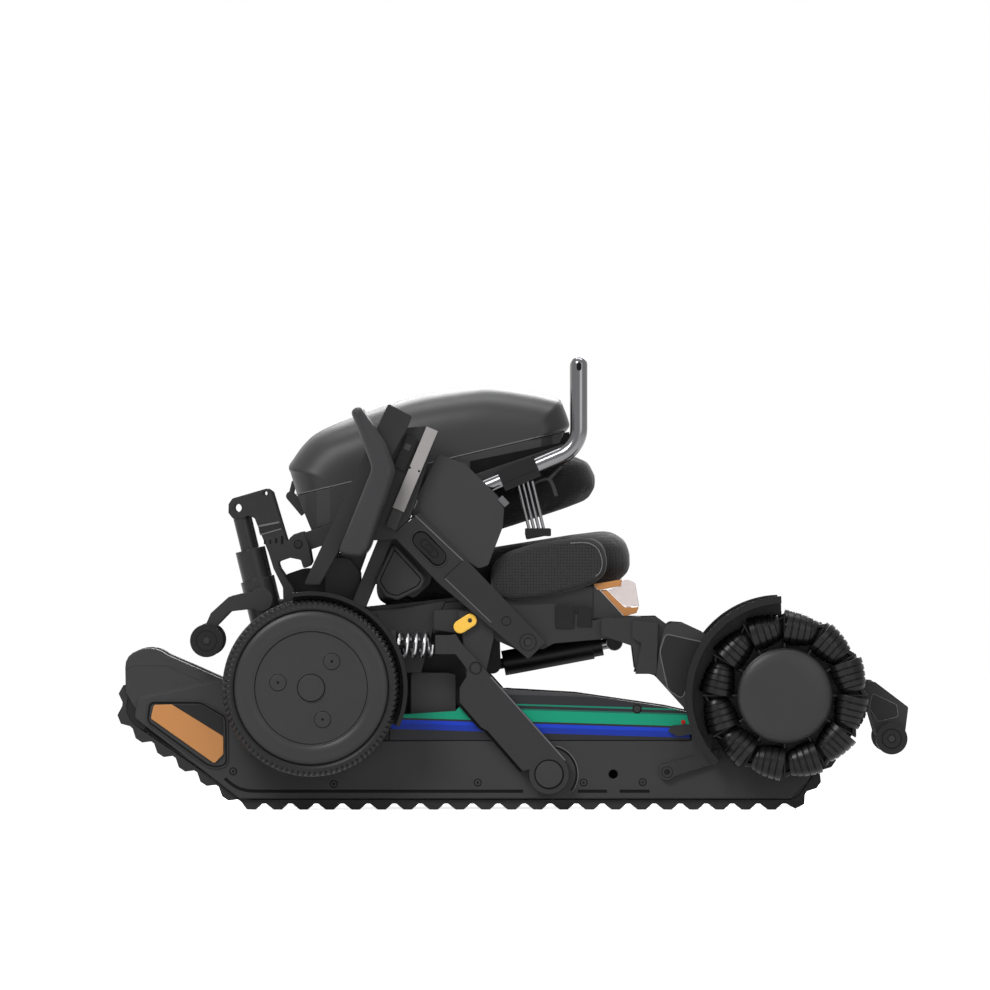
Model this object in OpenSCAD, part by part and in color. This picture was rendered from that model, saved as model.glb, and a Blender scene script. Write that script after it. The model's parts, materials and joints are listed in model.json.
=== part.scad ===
// Stair climbing power wheelchair, folded, standing on its lowered crawler tracks.
// X points to the front of the chair, Y to the sitter's left and Z up.
// The origin lies on the ground, under the middle of the folded chair.

/* [Crawler tracks] */
// Distance from the middle of the chair to the inner edge of a belt
track_in = 128; // [118:1:140]
// Width of one rubber belt
belt_w = 92; // [80:1:96]
// Thickness of the belt without its cleats
belt_t = 6; // [4:0.5:8]
// Height of a cleat on the belt
tooth_h = 8.6; // [6:0.2:10]
// Distance from one cleat to the next
tooth_pitch = 37; // [30:1:44]
// Thickness of the track side plates
panel_t = 5; // [4:0.5:6]

/* [Drive wheels] */
// Rear axle, from the origin towards the front
rear_x = -287; // [-290:1:-280]
// Rear axle height
rear_z = 175; // [172:1:180]
// Outer radius of the rear tyre
tyre_r = 127; // [120:1:129]
// Width of the rear tyre
tyre_w = 62; // [54:1:66]
// Radius of the rear wheel disc
rim_r = 111; // [104:1:114]
// Radius of the rear wheel axle
axle_r = 10; // [8:0.5:12]

/* [Front wheels] */
// Front axle, from the origin towards the front
front_x = 389.5; // [385:0.5:394]
// Front axle height
front_z = 164; // [160:1:170]
// Outer radius of the roller wheel
omni_r = 124.5; // [122:0.5:126]
// Radius of the smooth hub cap
omni_cap_r = 67.6; // [64:0.2:68]
// Number of rollers round a front wheel
roller_count = 12; // [12:1:12]
// Length of one roller
roller_l = 46; // [42:1:46]

/* [Swing arms] */
// Height of the swing arm pivot on the chassis
arm_z = 203; // [200:1:206]
// Place of the swing arm pivot on the chassis
arm_x = -52; // [-54:1:-50]
// Forward reach of a swing arm
arm_reach = 105; // [100:1:110]
// Drop of a swing arm
arm_drop = 152; // [148:1:154]
// Thickness of a swing arm
arm_t = 14; // [10:1:16]

/* [Springs] */
// Mean radius of a coil spring
spring_r = 16.2; // [14:0.2:17]
// Wire diameter of a coil spring
spring_wire = 6.4; // [5:0.2:7]
// Number of curls of a coil spring
spring_turns = 4; // [3:1:5]

/* [Seat and backrest] */
// Half the width of the seat cushion
seat_half = 198; // [180:1:204]
// Thickness of the seat cushion
seat_t = 68; // [55:1:72]
// Thickness of the backrest cushion
back_t = 56; // [40:1:60]
// Half the width of the hard case on the backrest
case_half = 172; // [150:1:174]
// Wall of the hard case
case_wall = 3; // [2:0.5:4]
// Diameter of the handle tube
handle_d = 24; // [20:1:25]

/* [Armrests] */
// Thickness of the armrest link
link_t = 14; // [12:1:16]
// Width of the armrest across the chair
rest_w = 40; // [34:1:44]

/* [Running fits] */
// Radial clearance of a shaft that turns in its bore
fit_gap = 0.06; // [0.04:0.01:0.08]
// Gap between pieces that slide past each other
slide_gap = 0.4; // [0.3:0.05:0.6]
// Gap between a soft piece and its seat
soft_gap = 0.3; // [0.2:0.05:0.5]

/* [Hidden] */
$fn = 64;

// One overrun for every cut
cut = 1;
// Flat faces of neighbours in one body meet with this gap
seat_gap = 0.02;
// Gap between the track units and what passes beside them
side_gap = 2;

// Distances across the chair, from its middle outwards
belt_gap = 1;
pod_in = track_in - belt_gap - panel_t;
belt_out = track_in + belt_w;
pod_out = belt_out + belt_gap + panel_t;
hanger_in = pod_out + side_gap;
hanger_t = 6;
hanger_out = hanger_in + hanger_t;
arm_in = hanger_out + side_gap;
arm_out = arm_in + arm_t;
wheel_in = arm_out + 2 * side_gap;
wheel_out = wheel_in + tyre_w;
rail_in = 186;
rail_t = 20;
rail_out = rail_in + rail_t;

// Places in the side view, as [forward, up]
rear_axle = [rear_x, rear_z];
front_axle = [front_x, front_z];
arm_pivot = [arm_x, arm_z];
pod_pivot = [arm_x + arm_reach, arm_z - arm_drop];
link_pivot = [25, 239];
carriage_pivot = [143, 262];
back_hinge = [-306, 380];

// Side view outline from hand-chosen shares of a length and a height
function spread(shares, at, size) =
    [for (p = shares) [at[0] + p[0] * size[0], at[1] + p[1] * size[1]]];
function unit(v) = v / norm(v);
function mean(points) = [for (k = [0:1]) [for (p = points) p[k]] * [for (p = points) 1] / len(points)];
function extent(points, k) = max([for (p = points) p[k]]) - min([for (p = points) p[k]]);
// Outline drawn in by a wall, about its own middle
function drawn_in(points, wall) =
    let (
        m = mean(points),
        ratio = [for (k = [0:1]) 1 - 2 * wall / extent(points, k)]
    )
    [for (p = points) [for (k = [0:1]) m[k] + (p[k] - m[k]) * ratio[k]]];
// Corners given as [forward, up, radius]
function flat(p) = [p[0], p[1]];
function corner_way(c, i, step) = unit(flat(c[(i + step + len(c)) % len(c)]) - flat(c[i]));
function corner_half(c, i) = acos(corner_way(c, i, -1) * corner_way(c, i, 1)) / 2;
function corner_centre(c, i) =
    flat(c[i]) + unit(corner_way(c, i, -1) + corner_way(c, i, 1)) * c[i][2] / sin(corner_half(c, i));
function short_turn(a) = a > 180 ? a - 360 : a < -180 ? a + 360 : a;
function corner_arc(c, i, steps) =
    let (
        m = corner_centre(c, i),
        reach = c[i][2] / tan(corner_half(c, i)),
        a = flat(c[i]) + corner_way(c, i, -1) * reach - m,
        b = flat(c[i]) + corner_way(c, i, 1) * reach - m,
        start = atan2(a[1], a[0]),
        sweep = short_turn(atan2(b[1], b[0]) - start)
    )
    [for (k = [0:steps]) m + c[i][2] * [cos(start + sweep * k / steps), sin(start + sweep * k / steps)]];
// Curve through points
function curve_at(p, i, t) =
    let (a = p[max(i - 1, 0)], b = p[i], c = p[i + 1], d = p[min(i + 2, len(p) - 1)])
    (2 * b + (c - a) * t + (2 * a - 5 * b + 4 * c - d) * t * t + (3 * b - a - 3 * c + d) * t * t * t) / 2;
function curved(p, steps) =
    [for (i = [0:len(p) - 2], k = [0:steps - 1]) curve_at(p, i, k / steps), p[len(p) - 1]];
function rounded(c, steps = 8) = [for (i = [0:len(c) - 1]) each corner_arc(c, i, steps)];
function soft(points, r, steps = 5) = rounded([for (p = points) [p[0], p[1], r]], steps);
// Bar of a given width from p to q, square at both ends
function bar(p, q, w) =
    let (
        d = unit(q - p),
        s = [-d[1], d[0]] * w / 2
    )
    [p + s, p - s, q - s, q + s];

// Side view outline carried across the chair from y0 to y1
module across(y0, y1) {
    translate([0, y1, 0]) rotate([90, 0, 0]) linear_extrude(y1 - y0) children();
}
module slab(points, y0, y1) {
    across(y0, y1) polygon(points);
}
// Round pin across the chair
module pin(at, r, y0, y1) {
    translate([at[0], y1, at[1]]) rotate([90, 0, 0]) cylinder(h = y1 - y0, r = r);
}
// Straight round rod in the side plane
module rod(p, q, r, y) {
    translate([p[0], y, p[1]]) rotate([0, atan2(q[0] - p[0], q[1] - p[1]), 0])
        cylinder(h = norm(q - p), r = r);
}
// Ring turned about an axle, with its profile as [radius, distance across]
module turned(at, profile) {
    translate([at[0], 0, at[1]]) rotate([-90, 0, 0]) rotate_extrude() polygon(profile);
}
module right() {
    mirror([0, 1, 0]) children();
}
module both() {
    children();
    mirror([0, 1, 0]) children();
}

// Belt route: corners of the belt without cleats, as [forward, up, radius]
idler_at = [-516, 148];
idler_out = 42;
rear_low = [-384, tooth_h];
front_low = [410, tooth_h];
front_high = [500, 137];
return_low = [-395, 84];
rear_low_r = 36;
front_low_r = 28;
sprocket_out = 36;
return_r = 29;
function way_deg(p, q) = atan2(q[1] - p[1], q[0] - p[0]);
leave_deg = way_deg(return_low, idler_at) - asin(idler_out / norm(idler_at - return_low));
arrive_deg = way_deg(rear_low, idler_at) + asin(idler_out / norm(idler_at - rear_low));
idler_wrap = arrive_deg + 180 - leave_deg;
// The belt wraps the idler by more than half a turn, so two corners share that arc
function idler_corner(k) =
    let (a = leave_deg - 90 + idler_wrap * k)
    idler_at + idler_out / cos(idler_wrap / 4) * [cos(a), sin(a)];
function with_radius(p, r) = [p[0], p[1], r];
belt_corners = [
    with_radius(rear_low, rear_low_r), with_radius(front_low, front_low_r),
    with_radius(front_high, sprocket_out), with_radius(return_low, return_r),
    with_radius(idler_corner(1 / 4), idler_out), with_radius(idler_corner(3 / 4), idler_out)
];
belt_path = rounded(belt_corners, 10);
belt_n = len(belt_path);
function belt_step(i) = norm(belt_path[(i + 1) % belt_n] - belt_path[i % belt_n]);
belt_s = [for (i = 0, s = 0; i <= belt_n; s = s + belt_step(i), i = i + 1) s];
belt_l = belt_s[belt_n];
function belt_along(s, k) =
    lookup(s - belt_l * floor(s / belt_l), [for (i = [0:belt_n]) [belt_s[i], belt_path[i % belt_n][k]]]);
function belt_at(s) = [belt_along(s, 0), belt_along(s, 1)];
function belt_out_way(s) =
    let (t = unit(belt_at(s + belt_t) - belt_at(s - belt_t)))
    [t[1], -t[0]];
tooth_n = round(belt_l / tooth_pitch);
tooth_step = belt_l / tooth_n;
// One cleat, as shares of the pitch and of its height
tooth_shares = [[0, 0], [0.14, 0], [0.44, 1], [0.74, 1]];
belt_outside = [
    for (i = [0:tooth_n - 1], p = tooth_shares)
        let (s = (i + p[0]) * tooth_step)
        belt_at(s) + belt_out_way(s) * p[1] * tooth_h
];
belt_inside = [for (s = [for (i = [0:belt_n - 1]) belt_s[i]]) belt_at(s) - belt_out_way(s) * belt_t];

rear_roller_at = corner_centre(belt_corners, 0);
front_roller_at = corner_centre(belt_corners, 1);
sprocket_at = corner_centre(belt_corners, 2);
return_at = corner_centre(belt_corners, 3);
wheel_gap = belt_t + slide_gap;
rear_roller_r = rear_low_r - wheel_gap;
front_roller_r = front_low_r - wheel_gap;
sprocket_r = sprocket_out - wheel_gap;
idler_r = idler_out - wheel_gap;
return_roller_r = return_r - tooth_h - slide_gap;
roller_pin_r = 8;
sprocket_shaft_r = 9;
pod_shaft_r = 10;
roller_in = track_in + slide_gap;
roller_out = belt_out - slide_gap;
sprocket_notches = 12;
notch_r = 3;

module track_belt() {
    color("#1c1c1e") across(track_in, belt_out) difference() {
        polygon(belt_outside);
        polygon(belt_inside);
    }
}
module track_belt_left() {
    track_belt();
}
module track_belt_right() {
    right() track_belt();
}

// Track side plates, with the hood over the rear idler
panel_rear = 24;
panel_short = 40;
panel_h = 200;
panel_at = [idler_at[0] - panel_rear, 0];
panel_size = [front_high[0] - panel_short - panel_at[0], panel_h];
panel_shares = [
    [0.15, 0.08], [0.94, 0.08], [0.98, 0.31], [0.992, 0.48], [0.968, 0.61], [0.84, 0.58],
    [0.795, 0.495], [0.18, 0.495], [0.175, 0.64], [0.14, 0.66], [0.127, 0.93], [0.004, 0.8], [0, 0.66]
];
hood_arc_shares = [
    [-0.0135, 1.02], [-0.0125, 1.06], [-0.009, 1.095], [-0.003, 1.122], [0.005, 1.142], [0.014, 1.153],
    [0.0225, 1.155], [0.031, 1.148], [0.039, 1.132], [0.047, 1.105], [0.127, 0.93]
];
hood_under_shares = [[0.127, 0.84], [0.07, 0.98], [0.045, 1.03], [0, 1.03], [-0.0135, 1]];
hood_shares = concat(hood_arc_shares, hood_under_shares);
cheek_low_shares = [[0.1, 0.7], [0.004, 0.7], [-0.013, 0.84]];
cheek_shares = concat(hood_arc_shares, cheek_low_shares);
cheek_t = 3;
spacer_shares = [[0.25, 0.225], [0.45, 0.225], [0.72, 0.225], [0.88, 0.275]];
spacer_r = 13;
panel_corner = 6;
panel_top = panel_at[1] + panel_shares[7][1] * panel_size[1];
panel_points = soft(spread(panel_shares, panel_at, panel_size), panel_corner);
jack_hole_at = [145, 51];
jack_hole_r = 6.5;

module track_frame() {
    color("#3a3a3c") difference() {
        union() {
            slab(panel_points, pod_in, track_in - belt_gap);
            slab(panel_points, belt_out + belt_gap, pod_out);
            slab(spread(hood_shares, panel_at, panel_size), pod_in, pod_out - cheek_t / 2);
            for (y = [pod_in, belt_out + belt_gap])
                slab(spread(cheek_shares, panel_at, panel_size), y, y + cheek_t);
            for (p = spread(spacer_shares, panel_at, panel_size)) pin(p, spacer_r, pod_in, pod_out);
            for (p = [rear_roller_at, front_roller_at, return_at, idler_at])
                pin(p, roller_pin_r, pod_in, pod_out);
        }
        pin(sprocket_at, sprocket_shaft_r + fit_gap, pod_in - cut, pod_out + cut);
        pin(pod_pivot, pod_shaft_r + fit_gap, pod_in - cut, pod_out + cut);
        pin(jack_hole_at, jack_hole_r, belt_out, pod_out + cut);
    }
}
module track_frame_left() {
    track_frame();
}
module track_frame_right() {
    right() track_frame();
}

// Striped fairing over the upper run of the belt, with a cover box at its rear
fairing_l = 430;
fairing_h = 73;
fairing_at = [-175, panel_top + seat_gap];
fairing_top_shares = [
    [1, 0.55], [0.92, 0.66], [0.83, 0.74], [0.62, 0.92], [0.39, 1], [0.27, 0.96], [0.22, 0.58], [0, 0.5]
];
fairing_roof_shares = [
    [0.01, 0.42], [0.23, 0.46], [0.29, 0.84], [0.39, 0.88], [0.62, 0.8], [0.83, 0.62], [0.98, 0.47]
];
fairing_base_shares = [[0, 0], [1, 0]];
fairing_in = 150;
box_in = 140;
box_out = 182;
box_corner = 5;
box_shares = [[0.07, 0.48], [0.22, 0.48], [0.22, 1.3], [0.19, 1.33], [0.07, 1.33]];
module track_fairing() {
    size = [fairing_l, fairing_h];
    top = spread(fairing_top_shares, fairing_at, size);
    color("#2b2c30") {
        slab(concat(spread(fairing_base_shares, fairing_at, size), top), belt_out + belt_gap, pod_out);
        slab(concat(spread(fairing_roof_shares, fairing_at, size), top),
            fairing_in, belt_out + belt_gap + panel_t / 2);
        slab(soft(spread(box_shares, fairing_at, size), box_corner), box_in, box_out);
    }
}
module track_fairings() {
    both() track_fairing();
}

// Amber reflector on the tail of each track side plate
amber_l = 106;
amber_h = 85;
amber_at = [-519, 66];
amber_t = 3;
amber_r = 4;
amber_shares = [[0.06, 0.99], [0.3, 1], [1, 0.46], [1, 0.16], [0.88, 0], [0.02, 0.76]];
module amber_reflectors() {
    color("#c98745") both()
        slab(soft(spread(amber_shares, amber_at, [amber_l, amber_h]), amber_r),
            pod_out + seat_gap, pod_out + amber_t);
}

// Tension lever at the front of each track
tension_at = [222, 54];
tension_r = 12;
tension_hole_r = 4;
tension_t = 7;
tension_l = 78;
tension_h = 46;
tension_shares = [[-0.06, -0.25], [0.6, 0.12], [0.95, 0.3], [0.95, 0.72], [0.5, 0.5], [-0.06, 0.25]];
hook_r = 2.5;
hook_shares = [
    [0, 1.28], [0.2, 1.1], [0.45, 1.18], [0.5, 0.42], [0.8, 0.5], [0.85, 1.25], [0.5, 1.5], [0.1, 1.45]
];
module tension_lever() {
    size = [tension_l, tension_h];
    color("#333335") difference() {
        union() {
            slab(spread(tension_shares, tension_at, size), pod_out + seat_gap, pod_out + tension_t);
            slab(soft(spread(hook_shares, tension_at, size), hook_r),
                pod_out + seat_gap, pod_out + tension_t);
            pin(tension_at, tension_r, pod_out + seat_gap, pod_out + tension_t);
        }
        pin(tension_at, tension_hole_r, pod_out, pod_out + tension_t + cut);
    }
}
module tension_levers() {
    both() tension_lever();
}

// Wheels inside the belts
module belt_wheel(at, r) {
    difference() {
        pin(at, r, roller_in, roller_out);
        pin(at, roller_pin_r + fit_gap, roller_in - cut, roller_out + cut);
    }
}
module rear_rollers() {
    color("#2a2a2a") both() belt_wheel(rear_roller_at, rear_roller_r);
}
module front_rollers() {
    color("#2a2a2a") both() belt_wheel(front_roller_at, front_roller_r);
}
module return_rollers() {
    color("#2a2a2a") both() belt_wheel(return_at, return_roller_r);
}
module track_idlers() {
    color("#2a2a2a") both() belt_wheel(idler_at, idler_r);
}
module track_sprockets() {
    color("#555555") {
        pin(sprocket_at, sprocket_shaft_r, -pod_out, pod_out);
        both() difference() {
            pin(sprocket_at, sprocket_r, roller_in, roller_out);
            for (i = [1:sprocket_notches])
                pin(polar(sprocket_at, sprocket_r, i * 360 / sprocket_notches),
                    notch_r, roller_in - cut, roller_out + cut);
        }
    }
}

// Swing arms that carry the tracks, on one cross shaft
arm_size = [arm_reach, arm_drop];
arm_shares = [
    [-0.486, 0.276], [-0.276, 0.322], [-0.19, 0.23], [0.029, 0.066], [0.19, -0.059], [1.25, -0.875],
    [0.64, -0.97], [0.162, -0.592], [0.076, -0.559], [-0.219, -0.322], [-0.219, -0.184],
    [-0.124, -0.079], [-0.114, -0.013], [-0.276, 0.132], [-0.486, 0.151]
];
lug_shares = [[-0.552, 0.13], [-0.29, 0.13], [-0.29, 0.31], [-0.552, 0.31]];
arm_end_r = 28.6;
arm_cap_r = 19.3;
arm_cap_t = 2;
arm_corner = 3;
arm_pin_r = 7;
shaft_collar_r = 16;
spring_y = 228;
lug_in = 209;
module swing_arm() {
    difference() {
        union() {
            slab(soft(spread(arm_shares, arm_pivot, arm_size), arm_corner), arm_in, arm_out);
            slab(spread(lug_shares, arm_pivot, arm_size), lug_in, arm_out);
            pin(pod_pivot, arm_end_r, arm_in, arm_out);
            pin(pod_pivot, arm_cap_r, arm_out, arm_out + arm_cap_t);
            pin(pod_pivot, shaft_collar_r, pod_out + slide_gap, arm_in);
        }
        pin(arm_pivot, arm_pin_r + fit_gap, lug_in, arm_out + cut);
    }
}
module swing_arms() {
    color("#3d3d3f") {
        pin(pod_pivot, pod_shaft_r, -arm_in, arm_in);
        both() swing_arm();
    }
}

// Part of a ring about an axle, between two angles of the side view
module arc_ring(at, a0, a1, profile) {
    translate([at[0], 0, at[1]]) rotate([90, 0, 0]) rotate([0, 0, a0])
        rotate_extrude(angle = a1 - a0) polygon([for (p = profile) [p[0], -p[1]]]);
}
function polar(at, r, a) = at + r * [cos(a), sin(a)];

// Rear wheels
hub_r = 40;
rim_lip = 4;
dish_r = 81;
rim_cap_r = 19;
rim_cap_t = 3;
web_at = wheel_in + 5 * rim_lip;
rim_face = wheel_out - 2 * rim_lip;
axle_end = wheel_in + 4 * rim_lip;
rim_screw_r = 11.5;
rim_screw_ring = 48;
rim_screw_t = 1.2;
rim_screw_deg = [52, 171, 290];
tyre_shoulder = 14;
tyre_corner = 3;
module rear_rim() {
    difference() {
        turned(rear_axle, [
            [0, wheel_in], [hub_r, wheel_in], [hub_r, web_at], [rim_r - 2 * rim_lip, web_at],
            [rim_r - 2 * rim_lip, wheel_in + rim_lip], [rim_r, wheel_in + rim_lip],
            [rim_r, rim_face], [rim_r - rim_lip, rim_face + rim_lip], [dish_r, rim_face + rim_lip],
            [dish_r, rim_face + rim_lip / 2], [rim_cap_r, rim_face + rim_lip / 2],
            [rim_cap_r, rim_face + rim_lip / 2 + rim_cap_t], [0, rim_face + rim_lip / 2 + rim_cap_t]
        ]);
        pin(rear_axle, axle_r + fit_gap, wheel_in - cut, axle_end + side_gap);
    }
    for (a = rim_screw_deg)
        pin(polar(rear_axle, rim_screw_ring, a), rim_screw_r, rim_face, rim_face + rim_lip / 2 + rim_screw_t);
}
module rear_rim_left() {
    color("#454547") rear_rim();
}
module rear_rim_right() {
    color("#454547") right() rear_rim();
}
module rear_tyre() {
    turned(rear_axle, soft([
        [rim_r + seat_gap, wheel_in + rim_lip], [tyre_r - tyre_shoulder, wheel_in],
        [tyre_r, wheel_in + tyre_shoulder], [tyre_r, wheel_out - tyre_shoulder],
        [tyre_r - tyre_shoulder, wheel_out], [rim_r + seat_gap, wheel_out - rim_lip]
    ], tyre_corner));
}
module rear_tyre_left() {
    color("#1f1f20") rear_tyre();
}
module rear_tyre_right() {
    color("#1f1f20") right() rear_tyre();
}

// Rear drive units: motor, gear case and the stub axle on which the wheel turns
motor_r = 42;
motor_in = 22;
bracket_in = 104;
bracket_out = 116;
axle_wall = 6;
tube_r = axle_r + axle_wall;
tube_end = wheel_in - side_gap / 4;
module rear_drive_unit() {
    pin(rear_axle, motor_r, motor_in, bracket_in - seat_gap);
    pin(rear_axle, tube_r, bracket_in - cut, tube_end);
    pin(rear_axle, axle_r, tube_end - cut, axle_end);
}
module rear_drive_units() {
    color("#2f2f31") both() rear_drive_unit();
}

// Fenders
fender_gap = 5;
fender_t = 6;
fender_over = 4;
fender_web_t = 2;
fender_in = arm_out + side_gap / 2;
fender_out = wheel_out + fender_over;
rear_fender_deg = [-24, 102];
fender_arm_deg = 40;
fender_arm_w = 60;
fender_clamp_r = 26;
rear_web_r = 104;
module rear_fender() {
    r0 = tyre_r + fender_gap;
    arc_ring(rear_axle, rear_fender_deg[0], rear_fender_deg[1], [
        [r0, fender_in], [r0 + fender_t, fender_in], [r0 + fender_t, fender_out], [r0, fender_out],
        [r0, fender_in + fender_web_t * 3 / 4], [rear_web_r, fender_in + fender_web_t * 3 / 4],
        [rear_web_r, fender_in + fender_web_t / 4], [r0, fender_in + fender_web_t / 4]
    ]);
    difference() {
        union() {
            slab(bar(rear_axle, polar(rear_axle, r0 + fender_t / 2, fender_arm_deg), fender_arm_w),
                fender_in, fender_in + fender_web_t);
            pin(rear_axle, fender_clamp_r, fender_in, fender_in + fender_web_t);
        }
        pin(rear_axle, tube_r + seat_gap, fender_in - cut, fender_in + fender_web_t + cut);
    }
}
module rear_fenders() {
    color("#19191a") both() rear_fender();
}

// Front roller wheels
omni_half = 29;
omni_mid = wheel_in + omni_half;
roller_wide = 25;
roller_edge = 1;
roller_ring = omni_r - roller_wide - roller_edge;
roller_pin = 4;
roller_start_deg = 90;
omni_hub_r = 62;
omni_hub_half = 22;
omni_plate_r = 112;
omni_plate_t = 3;
omni_cap_t = 7;
omni_cap_edge = 12;
spoke_t = 3;
spoke_half = 10;
stub_r = 12;
roller_pitch_deg = 360 / roller_count;
spoke_l = roller_ring / cos(roller_pitch_deg) + roller_pin;
// A roller starts at its spoke and lies square to it, with its wide end at the spoke
module at_roller(i) {
    a = roller_start_deg - roller_pitch_deg * i;
    p = polar(front_axle, roller_ring, a);
    translate([p[0], omni_mid, p[1]]) rotate([0, 180 - a, 0]) children();
}
// Rings of a roller, as shares of its length and of its wide radius
roller_shares = [
    [0, 0.96], [0.02, 1], [0.31, 1], [0.33, 0.86], [0.35, 0.87], [0.64, 0.87], [0.66, 0.72],
    [0.68, 0.73], [0.89, 0.73], [0.91, 0.52], [0.98, 0.5], [1, 0.46]
];
roller_first = spoke_t / 2 + slide_gap;
roller_profile = concat(
    [[roller_pin + fit_gap, roller_first]],
    [for (p = roller_shares) [roller_wide * p[1], roller_first + (roller_l - roller_first) * p[0]]],
    [[roller_pin + fit_gap, roller_l]]
);
module omni_rollers() {
    for (i = [0:roller_count - 1]) at_roller(i) rotate_extrude() polygon(roller_profile);
}
module omni_rollers_left() {
    color("#1b1b1c") omni_rollers();
}
module omni_rollers_right() {
    color("#1b1b1c") right() omni_rollers();
}
module omni_hub() {
    cap = omni_mid + omni_hub_half;
    difference() {
        union() {
            turned(front_axle, [
                [0, wheel_in], [omni_plate_r, wheel_in], [omni_plate_r, wheel_in + omni_plate_t],
                [omni_hub_r, wheel_in + omni_plate_t], [omni_hub_r, cap], [omni_cap_r, cap],
                [omni_cap_r, cap + omni_cap_t / 3], [omni_cap_r - omni_cap_edge, cap + omni_cap_t],
                [0, cap + omni_cap_t]
            ]);
            for (i = [0:roller_count - 1]) {
                at_roller(i) cylinder(h = roller_ring * tan(roller_pitch_deg), r = roller_pin);
                tip = polar(front_axle, spoke_l, roller_start_deg - roller_pitch_deg * i);
                slab(bar(front_axle, tip, spoke_t), omni_mid - spoke_half, omni_mid + spoke_half);
            }
        }
        pin(front_axle, stub_r + fit_gap, wheel_in - cut, omni_mid);
    }
}
module omni_hub_left() {
    color("#343436") omni_hub();
}
module omni_hub_right() {
    color("#343436") right() omni_hub();
}

// Front carriage: side arms on a cross shaft, with the block and the guide roller arm
carriage_size = [440, 190];
carriage_at = [128, 90];
carriage_shares = [
    [0, 0.84], [0, 0.97], [0.18, 0.98], [0.215, 0.92], [0.4, 0.7], [0.6, 0.53], [0.89, 0.49],
    [0.998, 0.3], [0.985, 0.06], [0.9, 0.06], [0.87, 0.3], [0.6, 0.27], [0.4, 0.35], [0.24, 0.4],
    [0.17, 0.54], [0.11, 0.58], [0.1, 0.76]
];
block_shares = [[0.11, 0.55], [0.18, 0.55], [0.185, 0.93], [0.1, 0.95], [0.1, 0.82], [0.13, 0.78]];
carriage_corner = 4;
carriage_pin_r = 9;
carriage_in = arm_in;
carriage_t = 6;
carriage_out = carriage_in + carriage_t;
block_out = fender_in - side_gap;
guide_at = [543, 102];
guide_r = 22.6;
guide_w = 22;
guide_pin_r = 5;
guide_in = carriage_out + slide_gap;
eye_at = [147, 239];
eye_y = 100;
eye_half = 8;
eye_r = 12;
eye_pin_r = 5;
eye_gap = 1.6;
lug_t = 7;
lug_w = 22;
module carriage_side() {
    slab(soft(spread(carriage_shares, carriage_at, carriage_size), carriage_corner),
        carriage_in, carriage_out);
    slab(spread(block_shares, carriage_at, carriage_size), carriage_in, block_out);
    pin(front_axle, stub_r, carriage_in, omni_mid - side_gap);
    pin(guide_at, guide_pin_r, carriage_in, guide_in + guide_w + side_gap);
}
module carriage_frame() {
    color("#2c2c2e") {
        both() carriage_side();
        pin(carriage_pivot, carriage_pin_r, -carriage_out, carriage_out);
        right() {
            slab(bar(carriage_pivot, eye_at, lug_w), eye_y + eye_half + slide_gap, eye_y + eye_half + lug_t);
            pin(eye_at, lug_w / 2, eye_y + eye_half + slide_gap, eye_y + eye_half + lug_t);
            pin(eye_at, eye_pin_r, eye_y - eye_half, eye_y + eye_half + lug_t);
        }
    }
}
module guide_rollers() {
    color("#202022") both() difference() {
        pin(guide_at, guide_r, guide_in, guide_in + guide_w);
        pin(guide_at, guide_pin_r + fit_gap, guide_in - cut, guide_in + guide_w + cut);
    }
}

// Front drive housings on the outside of the carriage arms
drive_at = [206, 142];
drive_size = [124, 126];
drive_corner = 7;
drive_shares = [
    [0, 0.38], [0.04, 0.71], [0.1, 0.95], [0.18, 1], [0.32, 0.99], [0.56, 0.88],
    [0.85, 0.5], [0.85, 0.1], [0.35, 0]
];
module front_drive_units() {
    color("#313133") both()
        difference() {
            slab(soft(spread(drive_shares, drive_at, drive_size), drive_corner),
                carriage_out + seat_gap, fender_in - seat_gap);
            slab(spread(block_shares, carriage_at, carriage_size), carriage_in, block_out + seat_gap);
        }
}
front_fender_deg = [92, 225];
fender_clear = 7.5;
front_fender_r = omni_r + fender_clear;
front_fender_t = 4;
front_flange = 10;
front_web_deg = [128, 205];
front_web_r = 40;
module front_fender() {
    r0 = front_fender_r;
    r1 = front_fender_r + front_fender_t;
    r2 = front_fender_r + front_flange;
    y1 = fender_out - front_fender_t;
    y0 = fender_in + front_fender_t;
    arc_ring(front_axle, front_fender_deg[0], front_fender_deg[1], [
        [r0, fender_in], [r2, fender_in], [r2, y0], [r1, y0],
        [r1, y1], [r2, y1], [r2, fender_out], [r0, fender_out]
    ]);
    arc_ring(front_axle, front_web_deg[0], front_web_deg[1], [
        [front_web_r, fender_in], [r1, fender_in],
        [r1, fender_in + fender_web_t], [front_web_r, fender_in + fender_web_t]
    ]);
}
module front_fenders() {
    color("#19191a") both() front_fender();
}

// Main frame: seat side plates, armrest rails, spring plates, hangers, cross tubes and battery tray
frame_at = [-325, 250];
frame_size = [441, 70];
frame_shares = [[0, 0.17], [0, 0.71], [0.249, 0.467], [1, 1], [1, 0.114], [0.669, 0]];
frame_points = spread(frame_shares, frame_at, frame_size);
arm_rail_at = [-112, 230];
arm_rail_size = [274, 65];
arm_rail_shares = [
    [0, 0.42], [0, 0.846], [0.628, 1], [0.82, 0.62], [0.956, 0.738], [1, 0.492], [0.956, 0.246],
    [0.628, 0.123], [0.573, 0], [0.427, 0], [0.299, 0.246]
];
spring_plate_at = [-195, 196];
spring_plate_size = [100, 103];
spring_plate_shares = [[0, 0.835], [1, 1], [0.82, 0.6], [0.65, 0], [0.42, 0]];
spring_plate_in = 200;
spring_plate_out = 207;
hanger_reach = [-28, -11];
hanger_at = arm_pivot + hanger_reach;
hanger_size = [56, 93];
hanger_shares = [[0.25, 0], [0.75, 0], [0.98, 0.63], [0.98, 1], [0.04, 1], [0.18, 0.53]];
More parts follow.
